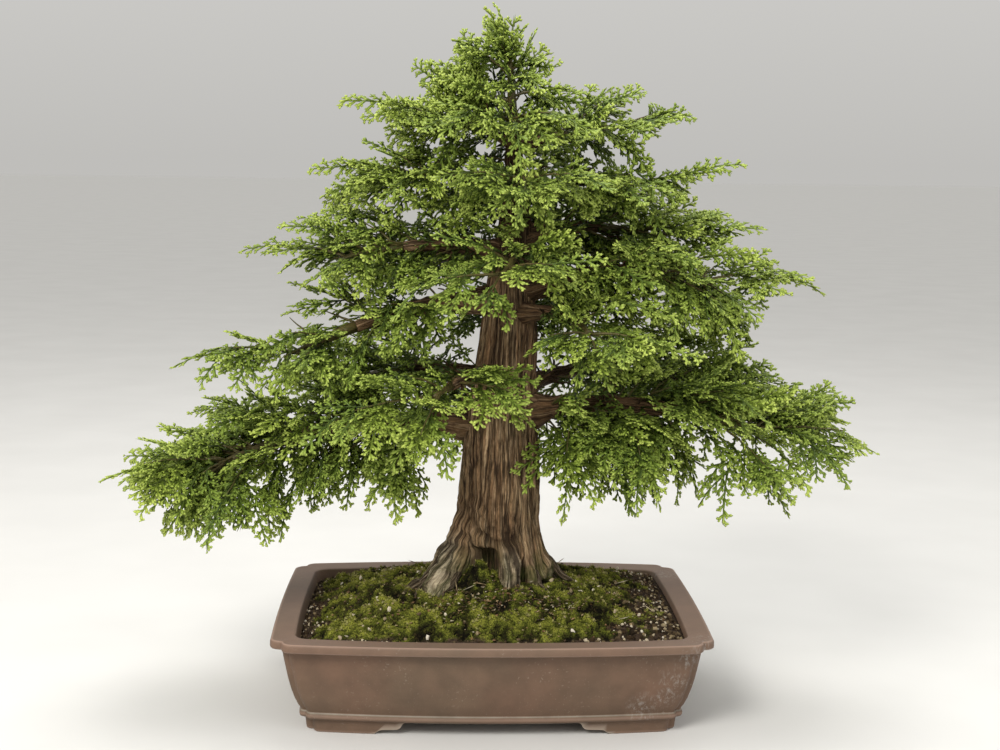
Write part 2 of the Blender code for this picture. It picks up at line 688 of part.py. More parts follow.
pot = make_pot()
make_screen("drain_screen_left", -DRAIN_SPACING / 2)
make_screen("drain_screen_right", DRAIN_SPACING / 2)
soil = make_soil()

wood_pieces, leafy_nodes = [trunk_mesh()], [("apex", *apex())]
for branch_name in BRANCHES:
    limb = Branch(branch_name)
    wood_pieces.append(branch_tube(limb))
    leafy_nodes.append((branch_name, *leafy_end(limb)))
    for spur_name, spur in spurs_of(limb):
        wood_pieces.append(spur.stub())
        leafy_nodes.append((spur_name, [spur.stem(on_stub=True)], [spur]))
wood = union_of("trunk_and_branches", wood_pieces, "bark")
smooth_round(wood, 50)

crowd = Crowd()
for solid in (pot, soil, wood):
    crowd.add_mesh(solid.name, applied(solid))
for node, stems, _ in leafy_nodes:
    for stem in stems:
        crowd.add_mesh(node + " stem", stem)
draw = random.Random(7)
for node, stems, shoots in leafy_nodes:
    pieces = list(stems)
    for shoot in shoots:
        for spec in shoot.fronds(draw):
            found = clear_frond(crowd, node, *spec)
            if found:
                crowd.add(node, *found)
                pieces.append(mesh_of(*found, "frond"))
    union_of(node, pieces, "foliage")
centre_on_origin()
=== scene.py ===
import math
import random

import bpy
import numpy as np
from mathutils import Matrix, Vector, noise
from mathutils.kdtree import KDTree


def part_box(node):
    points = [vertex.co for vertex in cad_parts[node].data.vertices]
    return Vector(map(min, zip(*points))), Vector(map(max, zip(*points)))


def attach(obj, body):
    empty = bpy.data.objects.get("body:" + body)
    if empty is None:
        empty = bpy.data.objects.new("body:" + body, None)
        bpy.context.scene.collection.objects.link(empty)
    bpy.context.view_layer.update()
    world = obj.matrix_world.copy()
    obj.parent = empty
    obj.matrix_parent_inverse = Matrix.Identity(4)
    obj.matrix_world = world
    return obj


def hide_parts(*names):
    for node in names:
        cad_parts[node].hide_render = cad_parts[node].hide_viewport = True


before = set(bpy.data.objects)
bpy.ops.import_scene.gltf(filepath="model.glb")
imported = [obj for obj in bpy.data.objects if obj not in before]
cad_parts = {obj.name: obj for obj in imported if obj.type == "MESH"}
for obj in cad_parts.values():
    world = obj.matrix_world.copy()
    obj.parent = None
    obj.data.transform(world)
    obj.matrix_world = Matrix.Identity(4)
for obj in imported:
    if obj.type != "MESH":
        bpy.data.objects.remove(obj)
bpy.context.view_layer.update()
print("frame loaded:", len(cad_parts), "nodes")

up = Vector((0, 0, 1))
potLow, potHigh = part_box("pot")
potMiddle = Vector(((potLow.x + potHigh.x) / 2, (potLow.y + potHigh.y) / 2, 0))


def deselectAll():
    if bpy.context.object and bpy.context.object.mode != "OBJECT":
        bpy.ops.object.mode_set(mode="OBJECT")
    bpy.ops.object.select_all(action="DESELECT")


def onlySelect(obj):
    deselectAll()
    obj.select_set(True)
    bpy.context.view_layer.objects.active = obj


def named(name):  # the primitive that was just added, with its place moved into its mesh
    obj = bpy.context.object
    obj.name = obj.data.name = name
    bpy.ops.object.transform_apply(location=True, rotation=True, scale=True)
    return obj


def editVerts(obj, test):  # opens edit mode with only the vertices that pass selected
    onlySelect(obj)
    bpy.ops.object.mode_set(mode="EDIT")
    bpy.ops.mesh.select_mode(type="VERT")
    bpy.ops.mesh.select_all(action="DESELECT")
    bpy.ops.object.mode_set(mode="OBJECT")
    for vert in obj.data.vertices:
        vert.select = test(vert.co)
    bpy.ops.object.mode_set(mode="EDIT")


def faceOut():  # turns all faces of the mesh in edit mode outwards, and leaves edit mode
    bpy.ops.mesh.select_all(action="SELECT")
    bpy.ops.mesh.normals_make_consistent(inside=False)
    bpy.ops.object.mode_set(mode="OBJECT")


def meshArrays(obj):  # points and triangles as arrays
    mesh = obj.data
    mesh.calc_loop_triangles()
    points = np.empty(len(mesh.vertices) * 3)
    mesh.vertices.foreach_get("co", points)
    corners = np.empty(len(mesh.loop_triangles) * 3, int)
    mesh.loop_triangles.foreach_get("vertices", corners)
    return points.reshape(-1, 3), corners.reshape(-1, 3)


def takeTemplate(obj):  # a modelled template's arrays; the object itself isn't kept
    arrays = meshArrays(obj)
    bpy.data.objects.remove(obj)
    return arrays


def pieceFrom(name, parts, smooth=True):  # one object from lists of (points, triangles, tints)
    points = np.concatenate([part[0] for part in parts])
    tints = np.concatenate([part[2] for part in parts])
    starts = np.cumsum([0] + [len(part[0]) for part in parts[:-1]])
    triangles = np.concatenate([part[1] + start for part, start in zip(parts, starts)])
    mesh = bpy.data.meshes.new(name)
    mesh.vertices.add(len(points))
    mesh.vertices.foreach_set("co", points.ravel())
    mesh.loops.add(triangles.size)
    mesh.loops.foreach_set("vertex_index", triangles.ravel().astype(np.int32))
    mesh.polygons.add(len(triangles))
    mesh.polygons.foreach_set("loop_start", np.arange(0, triangles.size, 3, dtype=np.int32))
    mesh.polygons.foreach_set("use_smooth", np.full(len(triangles), smooth))
    mesh.update(calc_edges=True)
    tint = mesh.attributes.new("tint", "FLOAT_COLOR", "POINT")
    tint.data.foreach_set("color", np.insert(tints, 3, 1.0, axis=1).ravel())
    obj = bpy.data.objects.new(name, mesh)
    bpy.context.scene.collection.objects.link(obj)
    return obj


def copies(template, places, turns, sizes):  # each copy is sized, turned and placed
    points, triangles = template
    laid = np.einsum("nij,nkj->nki", turns, points[None] * sizes[:, None, :]) + places[:, None, :]
    steps = np.arange(len(places))[:, None, None] * len(points)
    return laid, (triangles[None] + steps).reshape(-1, 3)


def turnsOf(heading, lift, roll):  # rotation matrices: roll about x, then lift, then heading about z
    (ch, sh), (cl, sl), (cr, sr) = ((np.cos(angle), np.sin(angle)) for angle in (heading, lift, roll))
    rows = [[ch * cl, -ch * sl * sr - sh * cr, -ch * sl * cr + sh * sr],
            [sh * cl, -sh * sl * sr + ch * cr, -sh * sl * cr - ch * sr],
            [sl, cl * sr, cl * cr]]
    return np.moveaxis(np.array(rows), 2, 0)


def smoothStep(value, low, high):
    share = min(1.0, max(0.0, (value - low) / (high - low)))
    return share * share * (3 - 2 * share)


def anyVector(draw):  # each coordinate between -1 and 1
    return Vector([draw.uniform(-1, 1) for _ in range(3)])


def aheadOf(heading):
    return Vector((math.cos(math.radians(heading)), math.sin(math.radians(heading)), 0))


class Nodes:  # short calls that add nodes to one tree; an input is a value or another node's output
    def __init__(self, tree):
        self.tree = tree

    def give(self, socket, value):
        if isinstance(value, bpy.types.NodeSocket):
            self.tree.links.new(value, socket)
        elif socket.type == "RGBA":
            socket.default_value = (*value, 1) if isinstance(value, tuple) else (value, value, value, 1)
        else:
            socket.default_value = value

    def add(self, kind, inputs=None, **settings):
        made = self.tree.nodes.new(kind)
        for name, value in settings.items():
            setattr(made, name, value)
        for name, value in (inputs or {}).items():
            self.give(made.inputs[name], value)
        return made

    def place(self):
        return self.add("ShaderNodeTexCoord").outputs["Object"]

    def attribute(self, name):
        return self.add("ShaderNodeAttribute", attribute_name=name).outputs

    def axis(self, vector, name):
        return self.add("ShaderNodeSeparateXYZ", {"Vector": vector}).outputs[name]

    def stretched(self, vector, sizes):
        return self.add("ShaderNodeVectorMath", {0: vector, 1: sizes}, operation="MULTIPLY").outputs[0]

    def noise(self, scale, detail):
        return self.add("ShaderNodeTexNoise", {"Vector": self.place(), "Scale": scale, "Detail": detail,
                                               "Roughness": 0.55}).outputs["Fac"]

    def ramp(self, factor, *stops):
        made = self.add("ShaderNodeValToRGB", {"Fac": factor})
        band = made.color_ramp
        while len(band.elements) < len(stops):
            band.elements.new(0.5)
        for element, (place, colour) in zip(band.elements, stops):
            element.position = place
            element.color = (*colour, 1)
        return made.outputs["Color"]

    def mix(self, factor, first, second, blend="MIX"):
        return self.add("ShaderNodeMix", {0: factor, 6: first, 7: second}, data_type="RGBA",
                        blend_type=blend).outputs[2]

    def math(self, operation, first, second, clamp=False):
        return self.add("ShaderNodeMath", {0: first, 1: second}, operation=operation,
                        use_clamp=clamp).outputs[0]

    def plus(self, first, second, clamp=False):
        return self.math("ADD", first, second, clamp)

    def minus(self, first, second, clamp=False):
        return self.math("SUBTRACT", first, second, clamp)

    def times(self, first, second, clamp=False):
        return self.math("MULTIPLY", first, second, clamp)


def groupOf(name, inputs, outputs):  # a new group's nodes, its given values and the sockets of its output
    group = bpy.data.node_groups.new(name, "ShaderNodeTree")
    for way, sockets in (("INPUT", inputs), ("OUTPUT", outputs)):
        for socket, kind in sockets.items():
            group.interface.new_socket(socket, in_out=way, socket_type="NodeSocket" + kind)
    nodes = Nodes(group)
    return nodes, nodes.add("NodeGroupInput").outputs, nodes.add("NodeGroupOutput").inputs


def speckleGroup():  # a fine noise as a tone between dark and light: the specks and mottling of most finishes
    sockets = {name: "Float" for name in ("Scale", "Detail", "Roughness", "Start", "End")}
    sockets.update({"Dark": "Color", "Light": "Color", "Stretch": "Vector"})
    nodes, given, made = groupOf("speckle", sockets, {"Tone": "Color"})
    spot = nodes.stretched(nodes.place(), given["Stretch"])
    wanted = {name: given[name] for name in ("Scale", "Detail", "Roughness")}
    field = nodes.add("ShaderNodeTexNoise", {"Vector": spot, **wanted}).outputs["Fac"]
    share = nodes.add("ShaderNodeMapRange", {"Value": field, "From Min": given["Start"],
                                             "From Max": given["End"]}).outputs[0]
    nodes.give(made["Tone"], nodes.mix(share, given["Dark"], given["Light"]))
    return nodes.tree


speckles = speckleGroup()


class Finish(Nodes):  # a material with its shader
    def __init__(self, name, roughness=0.7, shine=0.5):
        self.material = bpy.data.materials.new(name)
        self.material.use_nodes = True
        super().__init__(self.material.node_tree)
        self.shader = self.tree.nodes["Principled BSDF"].inputs
        self.shader["Roughness"].default_value = roughness
        self.shader["Specular IOR Level"].default_value = shine

    def tint(self):  # the three values that a piece carries in its tint attribute
        return self.add("ShaderNodeSeparateColor", {"Color": self.attribute("tint")["Color"]}).outputs

    def speckle(self, scale, detail, start, end, dark, light, rough=0.55, stretch=(1, 1, 1)):
        return self.add("ShaderNodeGroup", {"Scale": scale, "Detail": detail, "Start": start, "End": end,
                                            "Dark": dark, "Light": light, "Roughness": rough,
                                            "Stretch": stretch}, node_tree=speckles).outputs["Tone"]

    def done(self, colour, height=None, distance=0.0003, strength=0.5):  # the material with colour and bump
        self.give(self.shader["Base Color"], colour)
        if height:
            bump = self.add("ShaderNodeBump", {"Height": height, "Distance": distance, "Strength": strength})
            self.give(self.shader["Normal"], bump.outputs["Normal"])
        return self.material


def dress(obj, slot, *finishes):
    obj.data.materials.clear()
    for finish in finishes:
        obj.data.materials.append(finish)
    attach(obj, "root")


# the trunk's middle and radius: height, x, y, radius
trunkRows = np.array([
    (0.052, 0.006, 0.0, 0.033), (0.075, 0.006, 0.0, 0.04), (0.1, 0.006, 0.0, 0.042),
    (0.112, 0.006, 0.0, 0.0425), (0.122, 0.006, 0.0, 0.0425), (0.134, 0.006, 0.0, 0.042),
    (0.15, 0.006, 0.0, 0.0415), (0.167, 0.006, 0.0, 0.041), (0.188, 0.007, 0.0, 0.0402),
    (0.25, 0.009, 0.002, 0.0362), (0.3, 0.011, 0.004, 0.031), (0.36, 0.016, 0.004, 0.0265),
    (0.405, 0.017, 0.002, 0.022), (0.45, 0.02, 0.0, 0.0165), (0.49, 0.022, 0.0, 0.012),
    (0.53, 0.018, 0.0, 0.0078), (0.566, 0.016, 0.0, 0.0045)])

# a branch: height on the trunk, heading, reach, rise, radius, share that is bare, and its leafy shoots
# as place on the branch, turn, length and rise
branches = {
    "low_left": (0.262, 184, 0.262, -0.03, 0.0125, 0.8, [
        (1.0, 0, 0.116, -0.002), (0.88, 52, 0.108, -0.052), (0.74, -56, 0.112, 0.018),
        (0.66, 34, 0.1, 0.026)]),
    "mid_left": (0.386, 190, 0.205, -0.048, 0.011, 0.72, [
        (1.0, 0, 0.09, 0.004), (0.8, 54, 0.09, -0.026), (0.62, -40, 0.094, 0.028)]),
    "front_left": (0.312, 238, 0.128, -0.004, 0.0085, 0.78, [
        (1.0, -36, 0.104, -0.02), (0.9, 16, 0.08, -0.048), (0.7, 74, 0.1, -0.006)]),
    "upper_left": (0.43, 180, 0.158, -0.004, 0.009, 0.66, [
        (1.0, 0, 0.078, 0.01), (0.78, 56, 0.08, -0.016), (0.56, -36, 0.09, 0.03)]),
    "front_mid": (0.428, 262, 0.108, -0.01, 0.007, 0.6, [
        (1.0, -52, 0.082, -0.01), (0.84, 56, 0.086, 0.004), (1.0, 6, 0.06, -0.028)]),
    "high_left": (0.486, 178, 0.092, 0.018, 0.0065, 0.5, [
        (1.0, 0, 0.074, 0.01), (0.66, -46, 0.066, 0.03), (0.76, 56, 0.07, -0.004)]),
    "top_left": (0.534, 176, 0.056, 0.016, 0.0042, 0.45, [
        (1.0, 0, 0.076, 0.026), (0.7, 64, 0.062, 0.01)]),
    "top_right": (0.528, 4, 0.092, 0.02, 0.0048, 0.42, [
        (1.0, 0, 0.072, 0.022), (0.5, 30, 0.066, 0.04), (0.7, -60, 0.07, 0.002)]),
    "high_right": (0.488, 356, 0.108, 0.008, 0.0065, 0.5, [
        (1.0, 0, 0.07, 0.014), (0.62, -56, 0.08, -0.008)]),
    "upper_right": (0.446, 6, 0.14, 0.002, 0.008, 0.6, [
        (1.0, 0, 0.08, 0.01), (0.7, -52, 0.086, -0.014), (0.52, 34, 0.086, 0.034)]),
    "mid_right": (0.394, 352, 0.188, 0.016, 0.0105, 0.7, [
        (1.0, 0, 0.092, 0.004), (0.78, -48, 0.092, -0.034), (0.6, 44, 0.09, 0.018)]),
    "front_right": (0.372, 302, 0.128, -0.006, 0.008, 0.62, [
        (1.0, -64, 0.07, -0.002), (1.0, 48, 0.08, -0.008), (0.92, -6, 0.062, -0.032)]),
    "low_right": (0.276, 350, 0.24, -0.006, 0.0125, 0.78, [
        (1.0, 0, 0.122, -0.008), (0.84, -50, 0.11, -0.058), (0.72, 54, 0.114, 0.024),
        (0.62, -30, 0.104, 0.028)]),
    "back_low_right": (0.294, 38, 0.182, 0.006, 0.0095, 0.56, [
        (1.0, 0, 0.102, -0.012), (0.66, 50, 0.094, -0.004), (0.74, -48, 0.092, 0.008)]),
    "back_low": (0.266, 98, 0.16, -0.014, 0.0095, 0.56, [
        (1.0, 0, 0.102, -0.018), (0.66, 54, 0.094, -0.01), (0.72, -54, 0.094, -0.01)]),
    "back_low_left": (0.306, 146, 0.176, -0.01, 0.0095, 0.56, [
        (1.0, 0, 0.102, -0.014), (0.66, 50, 0.092, 0.004), (0.74, -50, 0.092, -0.01)]),
    "back_mid": (0.366, 78, 0.148, 0.004, 0.008, 0.54, [
        (1.0, 0, 0.09, -0.01), (0.66, 54, 0.084, -0.004), (0.72, -54, 0.084, 0.004)]),
    "back_mid_left": (0.412, 132, 0.13, 0.002, 0.0075, 0.54, [
        (1.0, 0, 0.086, -0.008), (0.66, 52, 0.078, 0.0), (0.72, -52, 0.078, 0.004)]),
    "back_upper_right": (0.434, 44, 0.114, 0.006, 0.0068, 0.54, [
        (1.0, 0, 0.082, -0.004), (0.66, -50, 0.072, 0.004)]),
    "back_upper": (0.474, 98, 0.096, 0.01, 0.0056, 0.5, [
        (1.0, 0, 0.074, -0.004), (0.66, 54, 0.066, 0.004), (0.72, -54, 0.066, 0.004)]),
    "front_high": (0.492, 272, 0.07, 0.01, 0.0052, 0.52, [
        (1.0, -54, 0.078, 0.004), (0.86, 54, 0.078, 0.002), (1.0, 4, 0.058, -0.014)]),
    "back_high": (0.53, 84, 0.056, 0.014, 0.004, 0.45, [
        (1.0, 36, 0.064, 0.01), (0.76, -48, 0.062, 0.008)]),
    "front_top": (0.546, 264, 0.044, 0.01, 0.0038, 0.5, [
        (1.0, 40, 0.064, 0.006), (0.84, -56, 0.062, 0.01), (1.0, -8, 0.048, -0.01)]),
}
# shoots near the trunk: branch, place on it, turn, length and rise
innerShoots = {
    "low_left_front": ("low_left", 0.36, 92, 0.098, -0.05),
    "low_left_back": ("low_left", 0.46, -76, 0.096, 0.004),
    "mid_left_front": ("mid_left", 0.38, 66, 0.076, 0.004),
    "low_right_front": ("low_right", 0.28, -84, 0.108, -0.052),
    "low_right_hanging": ("low_right", 0.52, -78, 0.106, -0.056),
    "mid_right_front": ("mid_right", 0.34, -40, 0.076, 0.014),
}
# the trunk's leafy top as heading, length and rise, and its shoots as place, heading, length and rise
leader = (190, 0.006, 0.092)
apexShoots = [(0.04, 150, 0.06, 0.012), (0.1, 24, 0.058, 0.008), (0.16, 282, 0.056, 0.014),
              (0.24, 78, 0.052, 0.016), (0.3, 188, 0.052, 0.036), (0.36, 340, 0.04, 0.016),
              (0.42, 248, 0.034, 0.022)]


def trunkCentre(height):
    x, y = (np.interp(height, trunkRows[:, 0], trunkRows[:, i]) for i in (1, 2))
    return potMiddle + Vector((x, y, height))


def trunkRadius(height):
    return float(np.interp(height, trunkRows[:, 0], trunkRows[:, 3]))


class Branch:
    def __init__(self, name):
        self.name = name
        self.height, self.heading, self.reach, self.rise, self.radius, self.bare, self.shoots = branches[name]
        self.bend = 7 * math.sin(self.height * 90)

    def point(self, share):
        ahead = aheadOf(self.heading + self.bend * math.sin(math.pi * share))
        lift = self.rise * share + 0.07 * self.reach * math.sin(math.pi * share)
        return trunkCentre(self.height) + ahead * self.reach * share + up * lift

    def tangent(self, share):
        return (self.point(share + 0.01) - self.point(share - 0.01)).normalized()

    def thickness(self, share):
        return self.radius * (1 - 0.66 * share)

    def shoot(self, place, turn, length, rise):
        tangent = self.tangent(place)
        heading = math.degrees(math.atan2(tangent.y, tangent.x))
        return Shoot(self.point(place), heading + turn, length, rise)


class Shoot:
    def __init__(self, start, heading, length, rise):
        self.start, self.heading, self.length, self.rise = start, heading, length, rise
        self.size = math.hypot(length, rise)

    def point(self, share):
        arch = 0.2 * self.length * share * (1 - share)
        return self.start + aheadOf(self.heading) * self.length * share + up * (self.rise * share + arch)

    def tangent(self, share):
        slope = self.rise + 0.2 * self.length * (1 - 2 * share)
        return (aheadOf(self.heading) * self.length + up * slope).normalized()


sprays = {
    "width": 0.4, "sag": 0.12, "cup": 0.12,   # a frond's half width, sag and cupping as shares of its length
    "branchletStep": 0.005, "branchletMost": 0.016, "lobeLength": (0.0048, 0.0063), "pieceLength": 0.0125,
    "leafWidth": 0.00188, "leafThickness": 0.00085,
    "frondSides": [(0.1, 33, 0.64), (0.34, 36, 0.5)],  # side sprays: place, turn, share of the frond's length
    "ribSpacing": 0.02, "ribReach": (0.03, 0.3), "sprayLength": (0.042, 0.058), "sprayStep": 0.015,
    "trunkShoots": 26, "trunkShootHeights": (0.4, 0.6),
    "plainBelow": 0.5, "plainWidth": 0.0026, "fillStep": 0.0062, "fillLength": (0.04, 0.064),
    "stems": 0.0015, "stemTint": [0.3, 0.4, 0.72], "farMiss": 0.012, "seed": 5,
}
# where no added spray may reach, as lowest and highest x, y and z: round the crown's outline and its gaps
clearings = [(-0.045, 0.048, -1, 0, 0.1, 0.318), (-0.012, 0.04, -1, 0, 0.35, 0.42),
             (-1, 1, -1, 1, 0.657, 1), (0.368, 1, -1, 1, 0, 1), (-1, -0.368, -1, 1, 0, 1),
             (-1, 1, -1, -0.213, 0, 1), (-1, 1, 0.213, 1, 0, 1),
             (-0.062, -0.012, -1, 1, 0.37, 0.394), (-0.074, -0.045, -1, 1, 0.16, 0.262),
             (-0.24, -0.15, -1, 1, 0.366, 0.404), (0.052, 0.105, -1, 0.05, 0.314, 0.338),
             (0.24, 0.3, -1, 1, 0.15, 0.22), (0.312, 0.4, -1, 1, 0.15, 0.24),
             (-1, -0.046, -1, 1, 0.618, 1), (0.058, 1, -1, 1, 0.612, 1), (-1, -0.108, -1, 1, 0.578, 1)]
# leafy masses that more shoots reach into: middle, half size, number of shoots
pads = [((-0.24, -0.01, 0.212), (0.118, 0.085, 0.048), 30), ((-0.165, 0.0, 0.436), (0.04, 0.05, 0.018), 5),
        ((-0.135, 0.0, 0.482), (0.048, 0.06, 0.028), 9), ((-0.098, 0.0, 0.538), (0.046, 0.05, 0.034), 10),
        ((-0.038, 0.0, 0.59), (0.04, 0.042, 0.028), 10), ((0.085, 0.0, 0.562), (0.048, 0.048, 0.028), 8),
        ((0.082, -0.01, 0.512), (0.052, 0.06, 0.024), 7), ((0.18, 0.0, 0.464), (0.036, 0.05, 0.028), 9),
        ((0.19, -0.01, 0.362), (0.066, 0.07, 0.032), 14), ((0.282, 0.0, 0.28), (0.064, 0.07, 0.032), 15),
        ((0.165, -0.02, 0.218), (0.074, 0.07, 0.036), 15), ((-0.31, -0.03, 0.19), (0.042, 0.06, 0.03), 14),
        ((-0.15, -0.01, 0.216), (0.045, 0.06, 0.022), 10), ((-0.05, -0.055, 0.352), (0.04, 0.04, 0.01), 7),
        ((0.135, -0.05, 0.206), (0.05, 0.04, 0.018), 10), ((0.2, -0.02, 0.22), (0.028, 0.06, 0.02), 7),
        ((0.318, 0.0, 0.292), (0.028, 0.05, 0.018), 8), ((0.2, 0.0, 0.468), (0.02, 0.04, 0.012), 6),
        ((0.24, 0.0, 0.345), (0.024, 0.05, 0.014), 6), ((-0.098, 0.0, 0.56), (0.014, 0.03, 0.01), 4),
        ((-0.05, 0.0, 0.606), (0.014, 0.03, 0.01), 5), ((-0.18, 0.0, 0.422), (0.03, 0.04, 0.008), 5),
        ((-0.28, 0.0, 0.258), (0.03, 0.05, 0.01), 7), ((0.01, -0.06, 0.5), (0.055, 0.03, 0.045), 16),
        ((0.01, -0.078, 0.436), (0.06, 0.03, 0.014), 12), ((0.105, -0.062, 0.298), (0.06, 0.028, 0.016), 12),
        ((-0.078, -0.055, 0.284), (0.036, 0.028, 0.016), 8), ((0.014, -0.046, 0.566), (0.04, 0.02, 0.04), 14),
        ((-0.338, -0.01, 0.215), (0.022, 0.05, 0.02), 9), ((-0.23, -0.05, 0.19), (0.08, 0.05, 0.024), 8),
        ((-0.235, -0.045, 0.262), (0.06, 0.02, 0.014), 10), ((-0.352, -0.02, 0.214), (0.012, 0.04, 0.022), 8),
        ((0.318, 0.0, 0.276), (0.026, 0.05, 0.016), 6), ((0.26, 0.0, 0.318), (0.03, 0.05, 0.014), 5),
        ((0.235, 0.0, 0.36), (0.035, 0.05, 0.014), 6), ((-0.055, -0.036, 0.356), (0.035, 0.03, 0.012), 10),
        ((-0.075, -0.03, 0.468), (0.03, 0.03, 0.012), 6), ((0.116, -0.02, 0.545), (0.018, 0.03, 0.016), 7),
        ((0.135, -0.03, 0.384), (0.025, 0.03, 0.01), 6), ((-0.195, -0.04, 0.2), (0.02, 0.03, 0.014), 7),
        ((-0.034, 0.0, 0.618), (0.012, 0.02, 0.012), 5), ((-0.07, -0.06, 0.264), (0.024, 0.015, 0.014), 5),
        ((-0.115, -0.04, 0.368), (0.052, 0.024, 0.014), 14), ((-0.12, -0.04, 0.432), (0.04, 0.02, 0.01), 5)]
# place on its shoot, turn, lift and share of the shoot's length
mainSprays = [(0.5, 0, 0, 0.54), (0.4, 50, -24, 0.66), (0.3, -52, -20, 0.7), (0.18, 18, 30, 0.66)]
shortShoot = 0.0865


def modelScale(name, ringAt, ringSize, endAt=None):  # a scale leaf along x, closed at both ends
    fan = endAt is None
    end = 1 if fan else endAt
    bpy.ops.mesh.primitive_cone_add(vertices=3, radius1=ringSize, radius2=0 if fan else 1, depth=end - ringAt,
                                    end_fill_type="TRIFAN" if fan else "NGON",
                                    location=(end / 2 + ringAt / 2, 0, 0), rotation=(0, math.pi / 2, 0))
    scale = named(name)
    if fan:
        editVerts(scale, lambda co: abs(co.y) + abs(co.z) < 0.01 and co.x < ringAt + 0.01)
        bpy.ops.transform.translate(value=(-ringAt, 0, 0))
    else:
        editVerts(scale, lambda co: co.x > endAt - 0.01)
        bpy.ops.mesh.extrude_region_move(TRANSFORM_OT_translate={"value": (1 - endAt, 0, 0)})
        bpy.ops.mesh.merge(type="CENTER")
    bpy.ops.object.mode_set(mode="OBJECT")
    return takeTemplate(scale)


def modelTaper():  # a length of stem clad in leaves: wide at its base, with a pointed end
    bpy.ops.mesh.primitive_cone_add(vertices=3, radius1=1, radius2=0, depth=1, end_fill_type="NGON",
                                    location=(0.5, 0, 0), rotation=(0, math.pi / 2, 0))
    return takeTemplate(named("taper"))


leafTemplates = {"lobe": modelScale("lobe", 0.62, 1.0), "finger": modelScale("finger", 0.0, 0.62, 0.72),
                 "taper": modelTaper()}
envelope = [(0.0, 0.55), (0.15, 0.9), (0.35, 1.0), (0.6, 0.82), (0.85, 0.52), (1.0, 0.34)]


def growBranchlet(rows, x, y, z, heading, length, ageAndShade, grow):  # a blunt finger with rounded lobes
    lift = grow.uniform(-0.22, 0.26)
    width = sprays["leafWidth"] * grow.uniform(0.9, 1.12)
    tip = min(1.0, ageAndShade + 0.42)
    rows.append((x, y, z, heading, lift, grow.uniform(-0.5, 0.5), length, width, ageAndShade, tip, "finger"))
    if length < 0.0062:
        return
    places = [0.66, 0.58] + [0.3] * (length > 0.0085) + [0.1] * (length > 0.0128)
    hand = grow.choice((-1, 1))
    for place in places:
        along = length * (place + grow.uniform(-0.05, 0.05))
        size = min(grow.uniform(*sprays["lobeLength"]), 0.55 * length)
        rows.append((x + along * math.cos(heading), y + along * math.sin(heading), z + along * math.sin(lift),
                     heading + hand * math.radians(grow.uniform(30, 44)), lift + grow.uniform(-0.3, 0.3),
                     grow.uniform(-0.6, 0.6), size, width * 0.98, ageAndShade + 0.1, min(1.0, tip + 0.1), "lobe"))
        hand = -hand


def growSpray(length, vigourAndShade, grow):  # leaf rows of a slender flat spray along x; plainer near the trunk
    rows, plain = [], vigourAndShade < sprays["plainBelow"]
    bow = grow.uniform(-0.06, 0.06) * length
    along, side = 0.0, grow.choice((-1, 1))
    nextBranchlet = grow.uniform(0.003, 0.007)
    most = min(sprays["branchletMost"], 0.3 * length) * grow.uniform(0.88, 1.1)
    while along < length - 0.002:
        share = along / length
        step = min(sprays["pieceLength"], length - along)
        last = along + sprays["pieceLength"] >= length
        y, slope = bow * math.sin(math.pi * share), math.pi * bow / length * math.cos(math.pi * share)
        now = vigourAndShade * (0.1 + 0.5 * share)
        size, width, tip, kind = ((step, 0.95, 1.0, "finger") if last
                                  else (min(step * 1.9, length - along), 0.85, now + 0.06, "taper"))
        rows.append((along, y, 0.0, math.atan(slope), 0.0, grow.uniform(-0.3, 0.3), size,
                     sprays["leafWidth"] * width, now, tip, kind))
        while nextBranchlet < along + step and nextBranchlet < length - 0.0045:
            place = nextBranchlet / length
            reach = most * np.interp(place, *zip(*envelope)) * grow.uniform(0.8, 1.16)
            heading = math.atan(slope) + side * math.radians(49 - 12 * place + grow.uniform(-6, 6))
            ageAndShade, height = vigourAndShade * (0.14 + 0.42 * place), y + (nextBranchlet - along) * slope
            if plain:
                lift, roll = grow.uniform(-0.3, 0.3), grow.uniform(-0.6, 0.6)
                rows.append((nextBranchlet, height, 0.0, heading, lift, roll, reach * 1.15,
                             sprays["plainWidth"], ageAndShade * 0.8, ageAndShade + 0.15, "lobe"))
            else:
                growBranchlet(rows, nextBranchlet, height, 0.0, heading, reach, ageAndShade, grow)
            side = -side
            nextBranchlet += sprays["branchletStep"] * grow.uniform(0.84, 1.16)
        along += step
    return rows


def growFrond(length, vigourAndShade, grow):  # a broad frond: a main spray and side sprays in one surface
    rows = growSpray(length, vigourAndShade, grow)
    for place, turn, share in sprays["frondSides"]:
        for hand in (-1, 1):
            start = length * (place + grow.uniform(-0.04, 0.06))
            angle = hand * math.radians(turn + grow.uniform(-5, 5))
            c, sn = math.cos(angle), math.sin(angle)
            for x, y, z, heading, *rest in growSpray(length * share * grow.uniform(0.9, 1.06), vigourAndShade, grow):
                rows.append((start + x * c - y * sn, x * sn + y * c, z, heading + angle, *rest))
    return rows


def sprayAxes(ahead, roll):  # across a spray and up from its face
    side = Matrix.Rotation(math.radians(roll), 3, ahead) @ ahead.cross(up).normalized()
    return side, side.cross(ahead).normalized()


